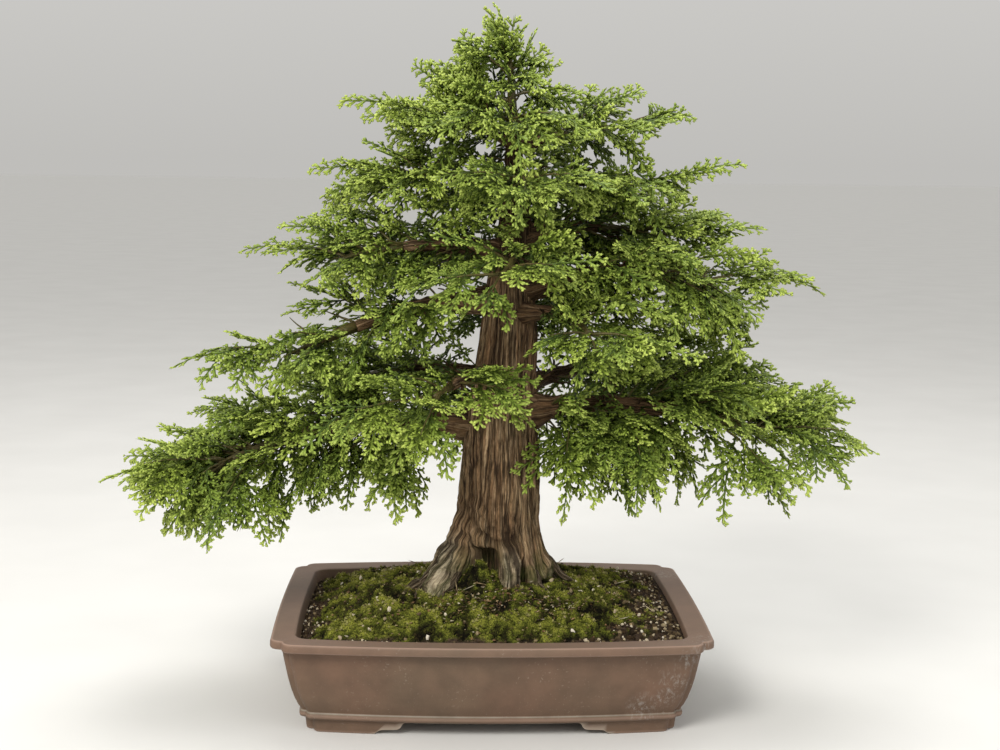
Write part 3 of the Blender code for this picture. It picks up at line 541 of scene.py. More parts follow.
def laySpray(root, ahead, roll, length, hue, rows):  # leaf rows in their place: points, triangles, tints
    side, over = sprayAxes(ahead, roll)
    halfWidth = sprays["width"] * length
    parts = []
    for kind in leafTemplates:
        chosen = np.array([row[:10] for row in rows if row[10] == kind])
        if not len(chosen):
            continue
        sizes = np.stack([chosen[:, 6], chosen[:, 7],
                          np.full(len(chosen), sprays["leafThickness"])], axis=1)
        laid, triangles = copies(leafTemplates[kind], chosen[:, :3], turnsOf(*chosen[:, 3:6].T), sizes)
        share = leafTemplates[kind][0][:, 0][None, :]
        youthAndShade = chosen[:, 8:9] * (1 - share) + chosen[:, 9:10] * share
        flat = laid.reshape(-1, 3)
        sag = sprays["sag"] * flat[:, 0] ** 2 / length + sprays["cup"] * flat[:, 1] ** 2 / halfWidth
        placed = (np.array(root) + flat[:, :1] * np.array(ahead) + flat[:, 1:2] * np.array(side)
                  + (flat[:, 2:] - sag[:, None]) * np.array(over))
        # the first tint: the leaf's age, with painted shade inside the crown
        tints = np.stack([youthAndShade.ravel(), np.full(len(flat), hue), np.zeros(len(flat))], axis=1)
        parts.append((placed, triangles, tints))
    return parts


def sprayAt(root, ahead, roll, length, along, across):  # a point of the flat CAD frond
    side, over = sprayAxes(ahead, roll)
    halfWidth = sprays["width"] * length
    droop = sprays["sag"] * length * along ** 2 + sprays["cup"] * halfWidth * across ** 2
    return root + ahead * length * along + side * halfWidth * across - over * droop


def bentAsSolid(tree, root, ahead, roll, length):  # the bend of the CAD frond, found from its corners
    across = ahead.cross(up).normalized()
    spots = [(1.0, 0.0), (0.397, 0.64), (0.397, -0.64), (0.754, 0.91), (0.754, -0.91)]
    best = None
    for shrink in (1.0, 0.85, 0.7):
        for lift in (0, -12, 12, -24, 24, -36):
            bent = Matrix.Rotation(math.radians(lift), 3, across) @ ahead
            for more in (0, 12, -12, 24, -24, 38, -38):
                miss = sum(min(0.004, tree.find(sprayAt(root, bent, roll + more, length * shrink, *spot))[2])
                           for spot in spots)
                if best is None or miss < best[0] - 1e-6:
                    best = (miss, bent, roll + more, length * shrink)
                if miss < 0.0004:
                    return best
    return best


def tubes(name, runs):  # runs of (points, radii) as one swept mesh's arrays
    curve = bpy.data.curves.new(name, "CURVE")
    curve.dimensions = "3D"
    curve.bevel_depth = 1.0
    curve.bevel_resolution = 0
    curve.use_fill_caps = True
    for points, radii in runs:
        spline = curve.splines.new("POLY")
        spline.points.add(len(points) - 1)
        for spot, point, radius in zip(spline.points, points, radii):
            spot.co = (*point, 1)
            spot.radius = radius
    obj = bpy.data.objects.new(name, curve)
    bpy.context.scene.collection.objects.link(obj)
    onlySelect(obj)
    bpy.ops.object.convert(target="MESH")
    bpy.ops.object.mode_set(mode="EDIT")
    bpy.ops.mesh.select_all(action="SELECT")
    bpy.ops.mesh.remove_doubles(threshold=0.00002)
    faceOut()
    return bpy.context.object


def leafyNodes():  # name, stems and shoots, in the CAD's own order
    x, y, radius = (float(trunkRows[-1][i]) for i in (1, 2, 3))
    base = potMiddle + Vector((x, y, float(trunkRows[-1][0]) + 0.0003))
    lead = Shoot(base + up * 0.003, *leader)
    shoots = [lead] + [Shoot(lead.point(place), *spec) for place, *spec in apexShoots]
    stems = [([base, lead.start, lead.point(0.15), lead.point(0.3), lead.point(0.56)],
              [radius, radius, radius * 0.85, radius * 0.7, 0.0012])]
    yield "apex", stems, shoots
    for name in branches:
        branch = Branch(name)
        shoots = [spec for spec in branch.shoots if spec[0] >= branch.bare]
        far = max(spec[0] for spec in shoots)
        places = [branch.bare + (far - branch.bare) * i / 5 for i in range(6)]
        start = branch.thickness(branch.bare)
        run = [branch.point(branch.bare) + branch.tangent(branch.bare) * 0.0003]
        run += [branch.point(place) for place in places[1:]]
        radii = [start * (1 - 0.5 * i / 5) for i in range(6)]
        yield name, [(run, radii)], [branch.shoot(*spec) for spec in shoots]
        spurs = [spec for spec in branch.shoots if spec[0] < branch.bare]
        for i, spec in enumerate(spurs):
            yield f"{name}_spur_{i + 1}", [], [branch.shoot(*spec)]
        for inner, spec in innerShoots.items():
            if spec[0] == name:
                yield inner, [], [branch.shoot(*spec[1:])]


def shootStem(shoot, grow):
    points, radii = [], []
    for i in range(8):
        share = 0.7 * i / 7
        wobble = anyVector(grow) * 0.0006
        points.append(shoot.point(share) + wobble * (0 < i))
        radii.append(sprays["stems"] * (1.05 - 0.8 * i / 7))
    return points, radii


def vigourAndShadeAt(point):  # how young the leaf is: dull near the trunk and inside the crown, partly as older leaves and partly as painted shade, with noise-drawn patches of painted light and shade for lit and shaded masses; bright at the crown's outside
    reach = np.interp(point.z, (0.15, 0.3, 0.45, 0.6, 0.66), (1.0, 0.95, 0.62, 0.26, 0.12))
    outer = smoothStep(math.hypot(point.x / 0.33, point.y / 0.19) / reach, 0.12, 0.8)
    return min(1.0, (0.34 + 0.66 * outer) * (0.96 + 0.42 * noise.noise(point / 0.042)))


def inClearing(point):
    return any(lowX < point.x < highX and lowY < point.y < highY and lowZ < point.z < highZ
               for lowX, highX, lowY, highY, lowZ, highZ in clearings)


def ribsOf(branch, grow):  # leafy side shoots all along a branch
    found = []
    along, side, level = trunkRadius(branch.height) + 0.012, grow.choice((-1, 1)), grow.choice((0, 1))
    while along < branch.reach:
        share = along / branch.reach
        least, gain = sprays["ribReach"]
        length = (least + gain * branch.reach) * (1 - 0.42 * share * share) * grow.uniform(0.72, 1.08)
        lift = math.radians(grow.uniform(-30, -2) if level else grow.uniform(6, 38))
        turn = side * grow.uniform(34, 72) * (1 - 0.35 * share)
        found.append(branch.shoot(share, turn, length * math.cos(lift), length * math.sin(lift)))
        side, level = -side, level if side > 0 else 1 - level
        along += sprays["ribSpacing"] / 2 * grow.uniform(0.8, 1.2)
    return found


def padCost(goal, branch, point):  # low where the wood is near the spot and points towards it
    away = goal - point
    outward = away.xy.normalized().dot(aheadOf(branch.heading).xy) if away.xy.length > 0.001 else 0
    return away.length * (2.4 - 1.4 * outward) + max(0, abs(away.z) - 0.05) * 2


def padShoots(grow):  # branch name and shoot: from the wood that suits a spot in the pad
    wood = [(branch, branch.point(share / 20)) for branch in map(Branch, branches) for share in range(3, 21)]
    found = []
    for middle, half, count in pads:
        for _ in range(count):
            spot = anyVector(grow)
            while spot.length >= 1:
                spot = anyVector(grow)
            goal = Vector(m + h * v for m, h, v in zip(middle, half, spot))
            branch, start = min(wood, key=lambda item: padCost(goal, *item))
            away = goal - start
            away *= max(0.5, 1 - 0.022 / max(away.length, 0.001))
            across, heading = math.hypot(away.x, away.y), math.degrees(math.atan2(away.y, away.x))
            if across > 0.018:
                found.append((branch.name, Shoot(start, heading, across, away.z)))
    return found


def trunkShoots(grow):  # short shoots straight from the upper trunk
    found = []
    low, high = sprays["trunkShootHeights"]
    for i in range(sprays["trunkShoots"]):
        share = (i + grow.uniform(0.1, 0.9)) / sprays["trunkShoots"]
        found.append(Shoot(trunkCentre(low + (high - low) * share), 265 + (137.5 * i) % 360,
                           grow.uniform(0.06, 0.076) * (1 - 0.52 * share), grow.uniform(0.004, 0.03)))
    return found


def leanAt(root, ahead, grow):  # rolls a spray so that its face looks away from the crown's middle
    outside = Vector((root.x * 0.3, root.y - 0.03, 0)).dot(ahead.cross(up))
    upright = 24 * smoothStep(root.z, 0.42, 0.58)
    return (grow.uniform(-6, 58) + upright) * (1 if outside > 0 else -1)


def fillSprays(branch, grow):  # plain dark sprays close to the wood: their low age value paints them dark, as old inner leaves and as painted shade of the crown's inside
    parts, along, side = [], 0.02, 1
    while along < 0.66 * branch.reach:
        length = grow.uniform(*sprays["fillLength"])
        heading = branch.heading + side * grow.uniform(8, 70)
        lift = math.radians(grow.uniform(-38, 42))
        ahead = aheadOf(heading) * math.cos(lift) + up * math.sin(lift)
        root = branch.point(along / branch.reach)
        if not any(inClearing(root + ahead * length * part) for part in (0, 1)):
            roll, hue = grow.uniform(-60, 60), grow.random()
            parts += laySpray(root, ahead, roll, length, hue, growSpray(length, 0.3, grow))
        along += sprays["fillStep"] * grow.uniform(0.8, 1.2)
        side = -side
    return parts


def sprayedShoot(shoot, grow):  # sprays along a shoot that the CAD doesn't hold
    parts, side = [], grow.choice((-1, 1))
    along = 0.01 if grow.random() < 0.6 else max(0.012, shoot.size - 0.03 - sprays["sprayStep"] * 3)
    while along < shoot.size:
        share = along / shoot.size
        length = grow.uniform(*sprays["sprayLength"])
        last = along + sprays["sprayStep"] >= shoot.size * 0.86
        turn = grow.uniform(-10, 10) if last else side * grow.uniform(30, 52)
        ahead = Matrix.Rotation(math.radians(turn), 3, "Z") @ shoot.tangent(min(1.0, share + 0.2))
        lift = grow.uniform(-22, 20) - 20 * max(0.0, -ahead.y)
        ahead = Matrix.Rotation(math.radians(lift), 3, ahead.cross(up)) @ ahead
        root = shoot.point(share)
        if not any(inClearing(root + ahead * length * part) for part in (0, 1, 0.5)):
            parts += laySpray(root, ahead, leanAt(root, ahead, grow), length, grow.random(),
                              growSpray(length, vigourAndShadeAt(root + ahead * length), grow))
        side = -side
        if last:
            break
        along += sprays["sprayStep"] * grow.uniform(0.85, 1.15)
    return parts


def camelName(name):
    first, *rest = name.split("_")
    return first + "".join(word.capitalize() for word in rest)


def leafPiece(name, parts, runs, finish):
    points, triangles = takeTemplate(tubes("stems", runs))
    parts.append((points, triangles, np.tile(sprays["stemTint"], (len(points), 1))))
    piece = pieceFrom(camelName(name) + "Sprays", parts)
    dress(piece, "foliage", finish)
    return piece


def makeFoliage():
    finish = leafMaterial()
    draw, grow = random.Random(7), random.Random(sprays["seed"])
    made, missed = [], 0
    extra = padShoots(grow)
    for name, stems, shoots in leafyNodes():
        tree = KDTree(len(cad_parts[name].data.vertices))
        for i, vert in enumerate(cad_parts[name].data.vertices):
            tree.insert(vert.co, i)
        tree.balance()
        parts, runs = [], list(stems)
        for shoot in shoots:
            runs.append(shootStem(shoot, grow))
            found = []
            for share, turn, lift, size in mainSprays[:3] if shoot.size < shortShoot else mainSprays:
                turn, lift = (angle + draw.uniform(-9, 9) for angle in (turn, lift))
                ahead = Matrix.Rotation(math.radians(turn), 3, "Z") @ shoot.tangent(share + 0.2)
                ahead = Matrix.Rotation(math.radians(lift), 3, ahead.cross(up)) @ ahead
                found.append((shoot.point(share), ahead, draw.uniform(-26, 26), shoot.size * size))
            for root, ahead, roll, length in found:
                miss, ahead, roll, length = bentAsSolid(tree, root, ahead, roll, length)
                missed += miss > sprays["farMiss"]
                parts += laySpray(root, ahead, roll, length, grow.random(),
                                  growFrond(length, vigourAndShadeAt(root + ahead * length), grow))
            parts += sprayedShoot(shoot, grow)
        added = ribsOf(Branch(name), grow) if name in branches else []
        if name in branches:
            parts += fillSprays(Branch(name), grow)
        for shoot in added + [shoot for place, shoot in extra if place == name]:
            runs.append(shootStem(shoot, grow))
            parts += sprayedShoot(shoot, grow)
        piece = leafPiece(name, parts, runs, finish)
        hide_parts(name)
        made.append(piece)
    parts, runs = [], []
    for shoot in trunkShoots(grow):
        runs.append(shootStem(shoot, grow))
        parts += sprayedShoot(shoot, grow)
    made.append(leafPiece("trunk_shoot", parts, runs, finish))
    counts = [len(piece.data.polygons) for piece in made]
    print("foliage:", len(made), "pieces,", sum(counts), "triangles, most", max(counts),
          "- fronds without a match:", missed)


def leafMaterial():
    leaf = Finish("cypressLeaf", 0.52, 0.28)
    youthAndShade, hue, woody = leaf.tint()[:3]
    # the age tint holds the leaf's real age and painted shade inside the crown
    ageAndShade = leaf.plus(youthAndShade, leaf.times(leaf.minus(leaf.noise(14, 2), 0.5), 0.5), True)
    green = leaf.ramp(ageAndShade, (0.0, (0.034, 0.049, 0.006)), (0.3, (0.1, 0.144, 0.013)),
                      (0.6, (0.246, 0.33, 0.04)), (0.9, (0.5, 0.6, 0.12)))
    green = leaf.mix(leaf.times(hue, 0.22), green, (0.06, 0.15, 0.04))
    green = leaf.mix(0.35, green, leaf.speckle(900, 2, 0.3, 0.7, 0.45, 1), "MULTIPLY")
    stem = leaf.speckle(500, 3, 0.3, 0.7, (0.034, 0.019, 0.01), (0.13, 0.072, 0.038))
    return leaf.done(leaf.mix(woody, green, stem), leaf.noise(900, 2), 0.0003, 0.6)


def setStage():
    deselectAll()
    bpy.ops.mesh.primitive_plane_add(size=80, location=(0, 0, 0))
    floor = named("studioFloor")
    paper = Finish("floorPaper", 0.8)
    tone = paper.speckle(6, 2, 0.3, 0.7, (0.64, 0.635, 0.62), (0.67, 0.665, 0.65))
    floor.data.materials.append(paper.done(tone))
    bpy.context.scene.view_settings.view_transform = "Standard"
    world = bpy.data.worlds.new("studio")
    bpy.context.scene.world = world
    world.use_nodes = True
    sky = Nodes(world.node_tree)
    height = sky.axis(sky.add("ShaderNodeTexCoord").outputs["Generated"], "Z")
    background = world.node_tree.nodes["Background"].inputs
    sky.give(background["Color"], sky.ramp(height, (0.0, (0.67, 0.66, 0.635)), (0.35, (0.97, 0.96, 0.93))))
    background["Strength"].default_value = 0.78
    for name, place, size, power, tone in [
            ("keyLight", (-1.1, -1.9, 1.9), 1.0, 58, (1.0, 0.97, 0.92)),
            ("fillLight", (1.6, -1.5, 1.1), 1.4, 8, (0.95, 0.97, 1.0)),
            ("topLight", (0.1, 0.5, 2.2), 1.3, 26, (1.0, 0.99, 0.96))]:
        bpy.ops.object.light_add(type="AREA", location=place)
        light = bpy.context.object
        light.name = name
        light.data.size, light.data.energy, light.data.color = size, power, tone
        light.rotation_euler = (Vector((0, 0, 0.3)) - Vector(place)).to_track_quat("-Z", "Y").to_euler()


def setCamera():
    yaw, pitch, roll = math.radians(2.2), math.radians(7.6), math.radians(0.75)
    ahead = Vector((math.sin(yaw) * math.cos(pitch), math.cos(yaw) * math.cos(pitch), -math.sin(pitch)))
    right = ahead.cross(up).normalized()
    above = right.cross(ahead)
    right, above = (right * math.cos(roll) + above * math.sin(roll),
                    above * math.cos(roll) - right * math.sin(roll))
    bpy.ops.object.camera_add(location=potMiddle + Vector((-0.051, -1.532, 0.519)))
    camera = bpy.context.object
    camera.name = "photoCamera"
    camera.rotation_euler = Matrix((right, above, -ahead)).transposed().to_euler()
    camera.data.sensor_width = 36
    camera.data.lens = 1608 * 36 / 1000  # the fitted focal length in pixels, over the picture's width
    camera.data.clip_start = 0.02
    bpy.context.scene.camera = camera


bark = {
    "sides": 168, "fineRows": (0.098, 0.4, 0.0025), "coarseRows": (0.4062, 0.5676, 0.0062),
    "stripWidth": 0.0058, "stripRun": 0.075, "fissureDepth": 0.0022, "fissureWidth": 0.085,
    "fineDepth": 0.0009, "wrinkleDepth": 0.008, "wrinkles": (244, 50, 0.172, 0.026), "unevenness": 0.0018,
    "crease": (281, 19, 0.16, 0.0026), "creaseDepth": 0.0045, "ridgeDepth": 0.0056, "knobDepth": 0.0072,
    "branchSides": 12, "branchRow": 0.009, "twigs": 70,
    # scale, stretch and width of the lines that the material draws along the grain
    "lines": {"wide": (150, 0.045, 0.052), "narrow": (300, 0.05, 0.048), "hairs": (1000, 0.1, 0.08),
              "flakes": (250, 0.46, 0.05), "broad": (26, 0.5, 0.1), "scales": (290, 0.36, 0.075)},
}
# surface roots: heading, reach beyond the trunk at the soil, half width in degrees, top, swelling, bluntness
roots = [(209, 0.046, 19, 0.186, 1.25, 2.6), (281, 0.022, 15, 0.158, 0.36, 4.5),
         (318, 0.011, 12, 0.178, 1.2, 2), (352, 0.017, 15, 0.176, 1.6, 2),
         (52, 0.028, 16, 0.184, 1.3, 2), (108, 0.026, 15, 0.184, 1.3, 2),
         (152, 0.022, 14, 0.186, 1.3, 2)]
# hollows between them: heading, depth, half width, top, height of the brow over it
hollows = [(252, 0.024, 19, 0.155, 0.008), (301, 0.008, 7, 0.146, 0.012), (180, 0.006, 10, 0.15, 0.03),
           (209, 0.009, 4, 0.126, 0.012)]
# thin roots in the moss: heading, distance and height of the start, heading and distance of the end, radius
rootlets = [(205, 0.058, 0.14, 203, 0.104, 0.005), (212, 0.06, 0.134, 214, 0.096, 0.0046),
            (222, 0.052, 0.132, 228, 0.078, 0.0042), (200, 0.062, 0.13, 192, 0.092, 0.0036),
            (352, 0.05, 0.136, 356, 0.082, 0.004), (318, 0.044, 0.13, 322, 0.066, 0.0034)]
rowSteps = np.arange(0.04, 0.6, 0.002)
smoothRows = [np.convolve(np.pad(np.interp(rowSteps, trunkRows[:, 0], trunkRows[:, i]), 6, mode="edge"),
                          np.ones(13) / 13, mode="valid") for i in (1, 2, 3)]


def bell(distance, halfWidth, blunt=2):  # 1 in the middle, near 0 beyond the half width
    return math.exp(-abs(distance / halfWidth) ** blunt)


def apartFrom(heading, where):
    return (heading - where + 180) % 360 - 180


def rootReach(heading, height):
    total = 0.0
    for where, reach, halfWidth, top, swell, blunt in roots:
        rise = min(1.0, max(0.0, (top - height) / (top - 0.112)))
        total += reach * bell(apartFrom(heading, where), halfWidth, blunt) * rise ** swell
    return total - hollowAt(heading, height)


def hollowAt(heading, height):
    return sum(depth * bell(apartFrom(heading, where), halfWidth, 4) * smoothStep(top - height, 0, brow)
               for where, depth, halfWidth, top, brow in hollows)


def trunkSkin(heading, height):  # the point, how dark it is (the fissures, with painted shade in the folds, the crease, the valleys between root ridges and the hollows) and how much of a root it is, its grain
    x, y, radius = (float(np.interp(height, rowSteps, row)) for row in smoothRows)
    angle = math.radians(heading)
    flute = 0.05 * radius * math.sin(5 * angle + 9 * height)
    reach = rootReach(heading, height)
    swirl = angle + 0.9 * (height - 0.1) + 0.1 * noise.noise(Vector((height * 16, 3, angle)))
    spot = Vector((math.cos(swirl) * 0.042, math.sin(swirl) * 0.042, height * bark["stripRun"]))
    size = min(1.0, radius / 0.034)
    strips = noise.noise(spot / bark["stripWidth"])
    fine = noise.noise(spot / (bark["stripWidth"] * 0.42) + Vector((7, 1, 4)))
    fissureAndShade, crackAndShade = bell(strips, bark["fissureWidth"]), bell(fine, 0.2)
    around = Vector((math.cos(angle), math.sin(angle), 0)) * 0.05
    wrinkle = noise.noise(Vector((around.x / 0.017, around.y / 0.017, (height + 0.4 * around.x) / 0.0062)))
    where, halfWidth, level, halfHeight = bark["wrinkles"]
    folded = bell(height - level, halfHeight) * bell(apartFrom(heading, where), halfWidth)
    where, halfWidth, level, halfHeight = bark["crease"]
    crease = bell(height - level, halfHeight) * bell(apartFrom(heading, where), halfWidth, 4)
    low = smoothStep(0.172 - height, 0, 0.03) * smoothStep(reach, 0.001, 0.014)
    ridge = noise.noise(Vector((heading / 4.6, 0, height / 0.05)))
    ridge += 0.5 * noise.noise(Vector((heading / 2.1, 9, height / 0.02)))
    out = radius + flute + reach + bark["ridgeDepth"] * ridge * low
    out -= size * (1 - 0.5 * low) * (bark["fissureDepth"] * fissureAndShade + bark["fineDepth"] * crackAndShade)
    out += size * bark["unevenness"] * noise.noise(around / 0.018 + Vector((0, 0, height / 0.05)))
    out += bark["wrinkleDepth"] * wrinkle * folded - bark["creaseDepth"] * crease
    out += bark["knobDepth"] * low * noise.noise(Vector((heading / 6.5, height / 0.009, 2.5)))
    # painted shade: the wrinkles' folds, the crease, the valleys between root ridges and the hollows under
    # their brows are darkened
    fissureAndShade += 0.9 * smoothStep(-wrinkle, 0.06, 0.32) * folded + crease
    fissureAndShade += 0.8 * low * smoothStep(-ridge, 0.15, 0.6) + smoothStep(hollowAt(heading, height), 0.004, 0.014)
    rooty = smoothStep(reach, 0.002, 0.016) * smoothStep(0.17 - height, -0.01, 0.02)
    return (potMiddle + Vector((x, y, height)) + aheadOf(heading) * out,
            min(1.0, 0.75 * min(1.0, fissureAndShade) + 0.45 * crackAndShade), rooty, spot)


def extrudedBar(name, sides, rows):  # a closed bar along z, one unit a row
    deselectAll()
    bpy.ops.mesh.primitive_circle_add(vertices=sides, radius=1, fill_type="NGON", location=(0, 0, 0))
    bar = named(name)
    bpy.ops.object.mode_set(mode="EDIT")
    bpy.ops.mesh.select_all(action="SELECT")
    for _ in range(rows - 1):
        bpy.ops.mesh.extrude_region_move(TRANSFORM_OT_translate={"value": (0, 0, 1)})
    faceOut()
    return takeTemplate(bar)


def modelTrunk():
    heights = np.concatenate([np.arange(*bark["fineRows"]), np.arange(*bark["coarseRows"])])
    points, triangles = extrudedBar("trunk", bark["sides"], len(heights))
    tints, grain = np.zeros((len(points), 3)), np.zeros((len(points), 3))
    for i, (x, y, z) in enumerate(points):
        height = float(heights[int(round(z))])
        place, fissureAndShade, rooty, spot = trunkSkin(math.degrees(math.atan2(y, x)), height)
        points[i] = place
        mossy = smoothStep(0.165 - height, 0, 0.055) * smoothStep(noise.noise(place / 0.012) + 0.25, 0.0, 0.4)
        # the first tint: the fissures with their painted shade
        tints[i] = fissureAndShade, rooty, mossy * (1 - 0.55 * rooty)
        grain[i] = spot.x, spot.y, height
    return points, triangles, tints, grain


def limb(points, radii, sides, redness=0.0, rough=0.0):  # a round bar swept along points
    bar, triangles = extrudedBar("limb", sides, len(points))
    tints, grain = np.zeros((len(bar), 3)), np.zeros((len(bar), 3))
    lengths = np.cumsum([0] + [(b - a).length for a, b in zip(points, points[1:])])
    for i, (x, y, z) in enumerate(bar):
        row = int(round(z))
        ahead = (points[min(row + 1, len(points) - 1)] - points[max(row - 1, 0)]).normalized()
        side = ahead.cross(up if abs(ahead.z) < 0.9 else Vector((1, 0, 0))).normalized()
        over = side.cross(ahead)
        around = side * x + over * y
        relief = noise.noise(points[row] / 0.008 + around * 2.2) * rough
        bar[i] = points[row] + around * radii[row] * (1 + relief)
        # painted shade: the dips of the knobbly relief are darkened
        crackAndShade = smoothStep(-relief, 0.0, 0.7 * max(rough, 0.01)) * (0.7 - 0.45 * redness)
        tints[i] = crackAndShade, redness, 0
        grain[i] = x * 0.01 + 1, y * 0.01, lengths[row]
    return bar, triangles, tints, grain


def modelRootlets():
    parts = []
    for heading, distance, height, endHeading, endDistance, radius in rootlets:
        start = trunkCentre(0.1) + aheadOf(heading) * distance
        end = trunkCentre(0.1) + aheadOf(endHeading) * endDistance
        ground = soilHeight(end.x - potMiddle.x, end.y - potMiddle.y)
        points, radii = [], []
        for i in range(15):
            share = i / 14
            point = start.lerp(end, share) + aheadOf(endHeading + 90) * 0.003 * math.sin(7 * share)
            point.z = height + (ground - 0.003 - height) * share ** 0.8 + 0.0012 * math.sin(11 * share)
            points.append(point)
            radii.append(radius * (1.1 - 0.75 * share))
        parts.append(limb(points, radii, 10, 1.0, 0.5))
    return parts


def modelBranches():
    draw = random.Random(21)
    parts = modelRootlets()
    for name in branches:
        branch = Branch(name)
        count = max(6, int(branch.reach * branch.bare / bark["branchRow"]))
        shares = [branch.bare * i / (count - 1) for i in range(count)]
        bareFrom = trunkRadius(branch.height)
        swell = [0.55 * math.exp(-max(0.0, share * branch.reach - bareFrom) / 0.01) for share in shares]
        radii = [branch.thickness(share) * (1 + more) for share, more in zip(shares, swell)]
        parts.append(limb([branch.point(share) for share in shares], radii, bark["branchSides"], rough=0.42))
    names = [name for name in branches for _ in range(int(branches[name][2] / 0.05) + 1)]
    for _ in range(bark["twigs"]):
        branch = Branch(draw.choice(names))
        share = draw.uniform(0.25, branch.bare)
        start, ahead = branch.point(share), branch.tangent(share)
        turn = Matrix.Rotation(math.radians(draw.choice((-1, 1)) * draw.uniform(30, 80)), 3, "Z")
        ahead = (turn @ ahead + up * draw.uniform(-0.5, 0.6)).normalized()
        length = draw.uniform(0.018, 0.046)
        points, radii = [], []
        for i in range(6):
            bend = anyVector(draw) * 0.0022
            points.append(start + ahead * length * i / 5 + bend * (i > 0))
            radii.append(0.0016 - 0.0002 * i)
        parts.append(limb(points, radii, 5))
    return parts


def makeWood():
    parts = [modelTrunk()] + modelBranches()
    piece = pieceFrom("trunkAndBranches", [part[:3] for part in parts])
    grain = piece.data.attributes.new("grain", "FLOAT_VECTOR", "POINT")
    grain.data.foreach_set("vector", np.concatenate([part[3] for part in parts]).ravel())
    dress(piece, "bark", barkMaterial())
    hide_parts("trunk_and_branches")
    print("trunk and branches:", len(piece.data.polygons), "triangles")


def fissureGroup():  # dark cracks and light fibres that run along a grain
    nodes, given, made = groupOf("barkFissures", {"Grain": "Vector", "Scale": "Float", "Stretch": "Float",
                                                  "Width": "Float"}, {"Crack": "Float", "Fibre": "Float"})
    sizes = nodes.add("ShaderNodeCombineXYZ", {"X": 1.0, "Y": 1.0, "Z": given["Stretch"]}).outputs[0]
    spot = nodes.stretched(given["Grain"], sizes)
    field = nodes.add("ShaderNodeTexNoise", {"Vector": spot, "Scale": given["Scale"], "Detail": 3.0,
                                             "Roughness": 0.62, "Distortion": 0.5}).outputs["Fac"]
    away = nodes.math("ABSOLUTE", nodes.minus(field, 0.5), 0)
    nodes.give(made["Crack"], nodes.minus(1.0, nodes.math("DIVIDE", away, given["Width"]), True))
    nodes.give(made["Fibre"], field)
    return nodes.tree


def barkMaterial():
    wood = Finish("cypressBark", 0.86, 0.15)
    fissureAndShade, rooty, mossy = wood.tint()[:3]
    grain = wood.attribute("grain")["Vector"]
    group = fissureGroup()
    lines = {name: wood.add("ShaderNodeGroup", {"Grain": grain, "Scale": scale, "Stretch": stretch,
                                                "Width": width}, node_tree=group).outputs
             for name, (scale, stretch, width) in bark["lines"].items()}
    wide, narrow, scales = (lines[name]["Crack"] for name in ("wide", "narrow", "scales"))
    fibres, hairs, flakes, broad = (lines[name]["Fibre"] for name in ("narrow", "hairs", "flakes", "broad"))
    brown, red, grey = (wood.ramp(fibres, *zip((0.28, 0.5, last), tones)) for last, *tones in [
        (0.72, (0.29, 0.19, 0.096), (0.5, 0.355, 0.196), (0.73, 0.58, 0.37)),
        (0.72, (0.25, 0.132, 0.068), (0.45, 0.262, 0.142), (0.64, 0.44, 0.262)),
        (0.75, (0.23, 0.185, 0.115), (0.52, 0.44, 0.3), (0.84, 0.76, 0.59))])
    colour = wood.mix(wood.times(wood.minus(broad, 0.3), 2.4, True), red, brown)
    colour = wood.mix(wood.times(rooty, 0.9), colour, grey)
    haired = wood.ramp(hairs, (0.34, (0.4, 0.36, 0.32)), (0.62, (1, 1, 1)))
    scaly = wood.ramp(flakes, (0.38, (0.3, 0.26, 0.22)), (0.5, (0.95, 0.93, 0.9)), (0.66, (1.3, 1.28, 1.22)))
    colour = wood.mix(0.75, colour, haired, "MULTIPLY")
    colour = wood.mix(wood.plus(0.42, wood.times(rooty, 0.25)), colour, scaly, "MULTIPLY")
    dark = wood.plus(wood.times(wide, 0.75), wood.times(narrow, 0.45), True)
    # the first tint adds the fissures and painted shade in folds, creases and hollows
    dark = wood.plus(dark, wood.times(fissureAndShade, 0.66), True)
    dark = wood.plus(dark, wood.times(scales, wood.times(rooty, 0.35)), True)
    colour = wood.mix(wood.times(dark, 0.88), colour, (0.02, 0.012, 0.008))
    # painted shade: the trunk darkens from 0.40 m up where the crown shades it, and the limbs are darkened too
    shade = wood.add("ShaderNodeMapRange", {"Value": wood.axis(wood.place(), "Z"), "From Min": 0.4,
                                            "From Max": 0.46, "To Min": 0.0, "To Max": 0.8}).outputs[0]
    onLimb = wood.math("GREATER_THAN", wood.axis(grain, "X"), 0.5)
    shade = wood.math("MAXIMUM", shade, wood.times(onLimb, 0.66))
    colour = wood.mix(shade, colour, wood.mix(1.0, colour, (0.26, 0.21, 0.18), "MULTIPLY"))
    green = wood.ramp(hairs, (0.3, (0.03, 0.045, 0.01)), (0.7, (0.11, 0.15, 0.03)))
    colour = wood.mix(wood.times(mossy, 0.75), colour, green)
    height = wood.minus(wood.plus(wood.plus(fibres, flakes), wood.times(hairs, 0.4)),
                        wood.plus(wide, wood.times(narrow, 0.5)))
    return wood.done(colour, height, 0.0014, 0.9)


pot = {
    "length": 0.4, "depth": 0.29, "longBow": 0.013, "shortBow": 0.003, "innerCorner": 0.012,
    "longOpening": 0.108, "shortOpening": 0.072, "drainRadius": 0.011, "drainSpacing": 0.18,
}
